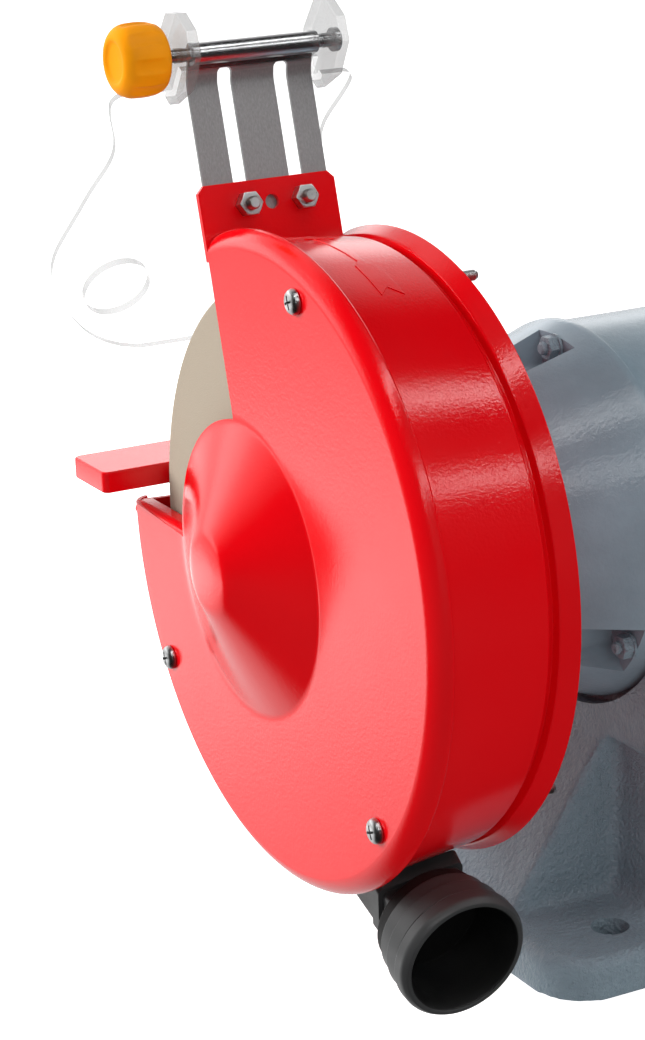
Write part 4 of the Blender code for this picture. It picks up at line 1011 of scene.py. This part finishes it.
def eye_shield():
    """Clear pane with a round hole and two hexagonal lugs that turn on the rod."""
    axis = Vector((0.0, ROD_Y, ROD_Z))
    down = Vector((0.0, -sin(SHIELD_TILT), -cos(SHIELD_TILT)))
    out = Vector((0.0, -cos(SHIELD_TILT), sin(SHIELD_TILT)))
    top, bottom, corner = 0.019, 0.185, 0.007
    levels = [top + (bottom - top) * (k / 80) ** 1.5 for k in range(81)]
    side = []
    for s in levels:
        back = corner - sqrt(max(0.0, corner ** 2 - max(0.0, top + corner - s) ** 2))
        side.append((shield_half_width(s) - back, s))
    outline = side + [(-w, s) for w, s in reversed(side)]
    rings = []
    thick = SHIELD_THICK / 2
    for t, inset in ((-thick, 0.0006), (-thick + 0.0006, 0.0), (thick - 0.0006, 0.0), (thick, 0.0006)):
        rings.append([tuple(axis + Vector((SHIELD_X + w, 0, 0)) + down * s + out * t)
                      for w, s in shrunk(outline, inset)])
    obj = new_object("eye_shield", stack(rings))
    hole = [(PANE_HOLE_X + PANE_HOLE_R * cos(a), PANE_HOLE_S + PANE_HOLE_R * sin(a))
            for a in angles_round(FINE)]
    rings = []
    for t in (-0.01, 0.01):
        rings.append([tuple(axis + Vector((x, 0, 0)) + down * s + out * t) for x, s in hole])
    cut(obj, stack(rings))

    def slanted(points):
        places = [axis + down * s + out * t for s, t in points]
        return [(p.y, p.z) for p in places]

    tongue = slanted([(0.0078, -thick + 0.0006), (0.0084, -thick), (0.0215, -thick), (0.0215, thick),
                      (0.0084, thick), (0.0078, thick - 0.0006)])
    join(obj, prism(tongue, 0.17, 0.239))
    for x_low, x_high in ((0.1655, 0.1705), (0.2385, 0.244)):
        lug = slanted([(0.0215, -0.0075), (0.0215, 0.0075), (0.006, 0.0165), (-0.012, 0.015),
                       (-0.019, 0.006), (-0.019, -0.006), (-0.012, -0.015), (0.006, -0.0165)])
        join(obj, prism(lug, x_low, x_high, ease=0.0005))
        cut(obj, *round_holes([(axis.y, axis.z, ROD_R + GAP)], x_low - 0.003, x_high + 0.003))
    both_sides(obj, "eye_shield", sharp=30.0)

    # Edge faces and lug faces take the darker copies of the clear plastic: painted shade for the light bent
    # through them.
    def part(centre, normal):
        lug = min(abs(centre.x - x) for x in LUG_MIDDLES) < LUG_REACH
        if lug and (centre - axis).dot(down) < 0.0225:
            return 2
        return 1 if abs(normal.dot(out)) < 0.5 else 0

    paint_faces("eye_shield", (CLEAR_EDGE_SHADE, CLEAR_LUG_SHADE), part)


# ---- dust outlet ----
def dust_outlet():
    """Flat adaptor in the band's slot, then the stepped round rubber spigot."""
    sections = [(0.045, 0.02, -0.0058, 0.0092), (0.0905, 0.02, -0.0138, 0.0092),
                (0.0908, 0.0213, -0.0144, 0.0136), (0.0965, 0.0213, -0.0152, 0.0103),
                (0.0968, 0.0192, -0.012, 0.0088), (ADAPTOR_END, 0.0192, -0.012, 0.0088)]
    adaptor = new_object("spigot_flange", adaptor_loft(sections))
    cut(adaptor, lathe(disc(0.17, 0.238, ADAPTOR_CLEAR_R), HUGE))
    cut(adaptor, adaptor_loft([(0.04, *PASSAGE), (ADAPTOR_END + 0.002, *PASSAGE)]))
    soften(adaptor, 0.0004, 45.0)
    both_sides(adaptor, "spigot_flange")
    base_x = ADAPTOR_END + GAP
    r = SPIGOT_R
    outer = [(0.0, 0.0), (0.0, r - 0.006), (0.001, r - 0.0049), (0.0068, r - 0.0046, 0.0004),
             (0.007, r - 0.0056, 0.0003), (0.0078, r - 0.0056, 0.0003), (0.008, r - 0.0028, 0.0006),
             (0.015, r - 0.003, 0.0004), (0.0152, r - 0.004, 0.0003), (0.016, r - 0.004, 0.0003),
             (0.0162, r - 0.0011, 0.0006), (0.024, r - 0.0014, 0.0004), (0.0242, r - 0.0024, 0.0003),
             (0.025, r - 0.0024, 0.0003), (0.0252, r, 0.0006), (SPIGOT_LENGTH - 0.0028, r, 0.002),
             (SPIGOT_LENGTH, r - 0.002, 0.0014)]
    inner = [(SPIGOT_LENGTH, r - 0.0036, 0.0006), (SPIGOT_LENGTH - 0.001, r - 0.0044, 0.0006),
             (SPIGOT_LENGTH - 0.008, r - 0.0055, 0.001), (0.0025, r - 0.007), (0.0025, 0.0)]
    profile = along_from(base_x, *outer, *inner)
    spigot = new_object("dust_spigot", lathe(profile, FINE, 0.0, 0.0, ease=0.0004, ease_steps=4))
    spigot.data.transform(outlet_matrix(SPIGOT_V))
    cut(spigot, adaptor_loft([(base_x - 0.002, *PASSAGE), (base_x + 0.005, *PASSAGE)]))
    both_sides(spigot, "dust_spigot", sharp=45.0)
    inward = outlet_matrix(SPIGOT_V).inverted()

    # Faces inside the bore take the near-black rubber: painted shade for the unlit inside of the spigot.
    def bore(centre, _):
        spot = inward @ centre
        return 1 if hypot(spot.y, spot.z) < r - 0.004 and spot.x > base_x + 0.001 else 0

    paint_faces("dust_spigot", (SPIGOT_BORE_SHADE,), bore)


# ---- motor ----
def tie_holes(radius, x_low, x_high):
    return round_holes([on_circle(TIE_R, degrees) + (radius,) for degrees in TIE_ANGLES], x_low, x_high)


def end_bell():
    """Cast end bell: a smooth cone with three pockets for the tie bolts' nuts."""
    low, end = BELL_LOW.x, BELL_HIGH.x
    profile = [(low, BELL_R, 0.0008), (BELL_RIM_X, BELL_R, 0.0035), (end, BELL_END_R, 0.002), (end, 0.016),
               (0.1463, 0.016), (0.1463, 0.0263), (0.1307, 0.0263), (0.1307, 0.033), (0.154, 0.033),
               (0.154, 0.042), (0.148, 0.048), (0.085, 0.0665), (0.085, 0.0815), (low, 0.0815)]
    obj = new_object("end_bell", lathe(profile, HUGE, ease=0.0003, ease_steps=4))
    pockets = []
    for degrees in TIE_ANGLES:
        half = radians(11.0)
        outline = []
        for radius, share in ((0.069, -0.8), (0.1, -1.0), (0.1, 1.0), (0.069, 0.8), (0.0672, 0.4),
                              (0.0672, -0.4)):
            a = radians(degrees) + half * share
            outline.append((radius * cos(a), SHAFT_Z + radius * sin(a)))
        pockets.append(prism(eased(outline, 0.0022, 5), POCKET_X, 0.15))
    cut(obj, *pockets)
    cut(obj, *tie_holes(M6_CLEAR_R, low - 0.004, POCKET_X + 0.004))
    soften(obj, 0.0008, 40.0)
    both_sides(obj, "end_bell", SMOOTH_GREY, sharp=40.0)


def motor_housing():
    low, high = HOUSING_LOW.x, HOUSING_HIGH.x
    profile = [(low, 0.0843), (low, MOTOR_R, 0.0007), (high, MOTOR_R, 0.0007), (high, 0.0843)]
    stand_in(new_object("motor_housing", lathe(eased(profile, 0.0002, 4), HUGE)), "motor_housing")


def tie_bolts():
    head = POCKET_X + GAP
    for number, degrees in enumerate(TIE_ANGLES, 1):
        y, z = on_circle(TIE_R, degrees)
        end = head + 0.0085
        half = [(head, 0.0027), (head + 0.0058, 0.0027)] + threads(head + 0.006, end - 0.0006, 0.003)
        half += [(end, 0.0022), (end, 0.0)]
        profile = [(-x, r) for x, r in reversed(half)] + half
        obj = new_object("tie_bolt", lathe(profile, SMALL, y, z))
        washer = disc(head, head + 0.0012, 0.0061)
        join(obj, lathe(washer, SMALL, y, z), lathe([(-x, r) for x, r in washer], SMALL, y, z))
        join(obj, hex_nut(head + 0.001, head + 0.006, 0.01, y, z, bevel_low=False))
        join(obj, hex_nut(-head - 0.006, -head - 0.001, 0.01, y, z, bevel_high=False))
        stand_in(obj, "tie_bolt_%d" % number, FINISH["cast_grey"])


# ---- base and controls ----
def base():
    """Cast base: foot, column and motor seat flow into each other with cast fillets."""
    foot_x, foot_y = BASE_HIGH.x, BASE_HIGH.y
    foot = ((0.0, 0.0), (FOOT_Z - 0.0045, 0.0008), (FOOT_Z - 0.0015, 0.0024), (FOOT_Z, 0.0055))
    obj = new_object("base", layered([(z, foot_x - inset, foot_y - inset, FOOT_CORNER - inset, 14)
                                      for z, inset in foot]))
    column = ((FOOT_Z - 0.003, 0.008), (FOOT_Z + 0.0035, 0.0025), (FOOT_Z + 0.009, 0.0),
              (SADDLE_LOW_Z + 0.006, -0.002))
    join(obj, layered([(z, COLUMN_X + grow, COLUMN_Y + grow, 0.012, 8) for z, grow in column]))
    join(obj, prism(rounded_rectangle(SADDLE_X, SADDLE_Y, 0.004, 6), SADDLE_LOW_Z, BASE_HIGH.z, "Z"))
    edge = SADDLE_X - 0.0002
    rib = [(-RIB_FOOT_X, FOOT_Z - 0.001), (RIB_FOOT_X, FOOT_Z - 0.001), (edge, SADDLE_LOW_Z),
           (edge, SADDLE_LOW_Z + 0.004), (-edge, SADDLE_LOW_Z + 0.004), (-edge, SADDLE_LOW_Z)]
    join(obj, prism(rib, -RIB_Y, RIB_Y, "Y"))
    remesh = obj.modifiers.new("cast", "REMESH")
    remesh.mode = "VOXEL"
    remesh.voxel_size = 0.0022
    smooth = obj.modifiers.new("fillets", "SMOOTH")
    smooth.factor = 0.5
    smooth.iterations = 7
    baked(obj)
    seat_x, seat_r, relief_r = HOUSING_HIGH.x - 0.0015, MOTOR_R + GAP, 0.0918
    seat = [(-0.1, 0.0), (-0.1, relief_r), (-seat_x, relief_r), (-seat_x, seat_r), (seat_x, seat_r),
            (seat_x, relief_r), (0.1, relief_r), (0.1, 0.0)]
    cut(obj, lathe(seat, HUGE))
    cut(obj, box((-0.062, -0.056, -0.01), (0.062, 0.056, 0.09)))
    cut(obj, box((-0.0703, -0.0643, -0.01), (0.0703, 0.0643, 0.0018)))
    foot_holes = []
    for sx in (-1, 1):
        for sy in (-1, 1):
            hole = [(-0.001, 0.0), (-0.001, 0.006), (0.0095, 0.006), (0.0095, 0.009), (0.025, 0.009),
                    (0.025, 0.0)]
            turn = spin(-90.0, "Y")
            place = Matrix.Translation((sx * FOOT_HOLE_X, sy * FOOT_HOLE_Y, 0.0))
            foot_holes.append(moved(lathe(hole, MID, 0.0, 0.0), place @ turn))
    cut(obj, *foot_holes)
    turn = spin(90.0, "Z")
    gland_hole, switch_hole = round_holes([(0.0, 0.0, 0.0083), (0.0, 0.0, 0.006)], 0.05, 0.09)
    switch_place = Matrix.Translation((0.0, 0.0, (SWITCH_LOW.z + SWITCH_HIGH.z) / 2))
    cut(obj, moved(gland_hole, Matrix.Translation((GLAND_X, 0.0, GLAND_Z)) @ turn),
        moved(switch_hole, switch_place @ turn.inverted()))
    stand_in(obj, "base", sharp=50.0)


def base_plate():
    low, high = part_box("base_plate")
    outline = rounded_rectangle(high.x, high.y, 0.004)
    stand_in(new_object("base_plate", prism(outline, low.z, high.z, "Z", 0.0002)), "base_plate")


def cable_gland():
    """Hex gland nut with a ribbed rubber mouth, on the column's rear face."""
    wall = COLUMN_Y + GAP
    obj = new_object("cable_gland", hex_nut(wall, wall + 0.007, 0.02, bevel_low=False))
    mouth = along_from(wall, (-0.01, 0.0), (-0.01, 0.0078), (0.009, 0.0078), (0.0095, 0.0072),
                       (0.011, 0.0072), (0.0115, 0.0075), (0.0135, 0.0072), (0.014, 0.0066),
                       (0.0155, 0.0066), (0.016, 0.0064), (0.019, 0.0055, 0.0008), (0.019, 0.0))
    join(obj, lathe(mouth, SMALL, 0.0, 0.0, ease=0.0002))
    cut(obj, *round_holes([(0.0, 0.0, 0.0038)], wall - 0.02, wall + 0.03))
    obj.data.transform(Matrix.Translation((GLAND_X, 0.0, GLAND_Z)) @ spin(90.0, "Z"))
    stand_in(obj, "cable_gland")


def switch_parts():
    """Switch box on the front of the column, with a start and a stop button in raised collars."""
    low, high = SWITCH_LOW, SWITCH_HIGH
    middle, half_x, half_z = (low.z + high.z) / 2, high.x, (high.z - low.z) / 2
    front = ((high.y, 0.0), (low.y + 0.003, 0.0), (low.y + 0.0022, 0.0003), (low.y + 0.0008, 0.0015),
             (low.y, 0.003))
    obj = new_object("switch_box", layered([(y, half_x - inset, half_z - inset, 0.006)
                                            for y, inset in front], "Y", middle))
    cut(obj, box((-half_x + 0.003, low.y + 0.003, middle - half_z + 0.003),
                 (half_x - 0.003, high.y + 0.01, middle + half_z - 0.003)))
    groove_y = high.y - 0.006
    outline, inside = ([(a, middle + b) for a, b in rounded_rectangle(half_x + grow, half_z + grow, corner)]
                       for grow, corner in ((0.001, 0.006), (-0.0006, 0.0055)))
    ring = new_object("ring", prism(outline, groove_y - 0.0006, groove_y + 0.0006, "Y"))
    combine(ring, prism(inside, groove_y - 0.002, groove_y + 0.002, "Y"), "DIFFERENCE")
    cut(obj, taken(ring))
    turn = spin(-90.0, "Z")
    for name in ("start_button", "stop_button"):
        knob_low, knob_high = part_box(name)
        x, radius = (knob_low.x + knob_high.x) / 2, (knob_high.z - knob_low.z) / 2
        place = Matrix.Translation((x, 0.0, middle)) @ turn
        cut(obj, moved(lathe(disc(-low.y - 0.006, -low.y + 0.004, radius + 0.0005), MID, 0.0, 0.0), place))
        inner, top, stem = -knob_high.y, -knob_low.y - 0.0004, radius - 0.003
        profile = [(inner, 0.0), (inner, stem), (inner + 0.004, stem), (inner + 0.004, radius),
                   (top, radius, 0.0018), (top - 0.0002, radius - 0.003, 0.0006),
                   (top - 0.0008, radius - 0.0042, 0.0006), (top - 0.001, 0.0)]
        button = new_object(name, lathe(profile, MID, 0.0, 0.0, ease=0.0004, ease_steps=4))
        button.data.transform(place)
        stand_in(button, name, sharp=45.0)
    soften(obj, 0.0003, 50.0)
    stand_in(obj, "switch_box")


def carried_over():
    """The CAD nodes that stay, which are inside the machine, get their finishes."""
    for node, obj in frame["nodes"].items():
        obj.data.materials.clear()
        obj.data.materials.append(FINISH[SLOT[node]])


# ---- studio ----
def aim(obj, place, right, up, back):
    """Put a camera or lamp at place with its X, Y and Z axes along right, up and back."""
    obj.matrix_world = Matrix.Translation(place) @ Matrix((right, up, back)).transposed().to_4x4()


def camera():
    data = bpy.data.cameras.new("camera")
    data.lens, data.sensor_width = 99.8, 36.0
    data.clip_start, data.clip_end = 0.05, 60.0
    obj = linked("camera", data)
    right = Vector((-0.8833, 0.4674, -0.0367))
    up = Vector((-0.1669, -0.2402, 0.9563))
    aim(obj, (0.773, 1.09, 0.5885), right, up, right.cross(up))
    bpy.context.scene.camera = obj


def lamp(name, place, target, size, power, glossy=True):
    """A soft rectangular light at place, facing target; size is (along X, across)."""
    data = bpy.data.lights.new(name, "AREA")
    data.shape = "RECTANGLE"
    data.size, data.size_y = size
    data.energy = power
    obj = linked(name, data)
    back = (Vector(place) - Vector(target)).normalized()
    along = (back * back.x - Vector((1.0, 0.0, 0.0))).normalized()
    aim(obj, place, along, back.cross(along), back)
    obj.visible_glossy = glossy
    return obj


def strip(name, degrees, width, power):
    """A long strip light parallel to the shaft, at an angle above the rear horizon, seen only in gloss."""
    a = radians(degrees)
    place = (-0.35, 1.5 * cos(a), SHAFT_Z + 1.5 * sin(a))
    obj = lamp(name, place, (-0.35, 0.0, SHAFT_Z), (3.6, width), power)
    obj.visible_diffuse = False


def surroundings():
    """White sweep in front of the machine and a dark room behind it, with pale bounce from below."""
    n = Nodes("studio", bpy.data.worlds, "Background", "Generated")
    bpy.context.scene.world = n.material
    split = n.add("ShaderNodeSeparateXYZ", Vector=n.place).outputs
    path = n.add("ShaderNodeLightPath").outputs

    def ramp(axis, start, end, low, high):
        return n.spread(split[axis], low, high, (start, end), "SMOOTHSTEP")

    low_card = n.maths("MULTIPLY", ramp("Z", -0.22, -0.31, 0.9, 2.1), ramp("Z", -0.32, -0.4, 1.0, 0.45))
    high_card = n.maths("MULTIPLY", ramp("Z", 0.02, 0.22, 0.0, 1.2), ramp("Z", 0.34, 0.48, 1.0, -0.1))
    card = n.maths("ADD", low_card, high_card)
    sweep = n.maths("MULTIPLY", ramp("Y", -0.3, -0.62, 0.012, 1.0), card)
    bounce = n.maths("MULTIPLY", path["Is Diffuse Ray"], ramp("Z", 0.1, -0.1, 0.1, 0.66))
    seen = n.maths("MAXIMUM", path["Is Camera Ray"], sweep)
    n.finish(Color=(1.0, 1.0, 1.0, 1.0), Strength=n.maths("MAXIMUM", seen, bounce))


def studio():
    """Pale floor, the sweep, two strip lights for the gloss and soft lamps for the rest."""
    floor = new_object("floor", prism(rounded_rectangle(6.0, 6.0, 1.0, 8), -0.05, 0.0, "Z"))
    n = Nodes("pale_floor")
    tone = n.colours(n.noise(2.0, 2.0), (0.3, (0.9, 0.9, 0.9)), (0.7, (0.93, 0.93, 0.93)))
    floor.data.materials.append(n.finish(Base_Color=tone, Roughness=0.8, Emission_Color=(1.0, 1.0, 1.0, 1.0),
                                         Emission_Strength=0.95, Specular_IOR_Level=0.2))
    floor.visible_glossy = False
    floor.visible_diffuse = False
    surroundings()
    strip("strip_over", 69.0, 0.17, 12.0)
    strip("strip_behind", 36.0, 0.13, 8.5)
    lamp("key", (1.7, -1.1, 1.1), (0.2, 0.0, 0.2), (1.2, 1.2), 48.0, glossy=False)
    lamp("overhead", (0.0, 0.5, 2.1), (0.1, 0.0, 0.2), (1.6, 1.6), 14.0, glossy=False)
    lamp("fill", (0.9, 1.9, 0.9), (0.1, 0.0, 0.15), (1.6, 1.6), 11.0, glossy=False)
    lamp("left_fill", (-1.8, 1.0, 0.9), (-0.2, 0.0, 0.2), (1.4, 1.4), 12.0, glossy=False)
    bpy.context.scene.view_settings.view_transform = "Standard"


for make in (camera, carried_over, base, base_plate, motor_housing, end_bell, tie_bolts, cable_gland,
             switch_parts, guard_body, guard_cover, direction_arrow, cover_bolts, wheel, flanges, tool_rest,
             rest_arm, rest_bolt, slotted_plate, plate_bolts, shield_rod, shield_knob, eye_shield,
             dust_outlet, studio):
    make()
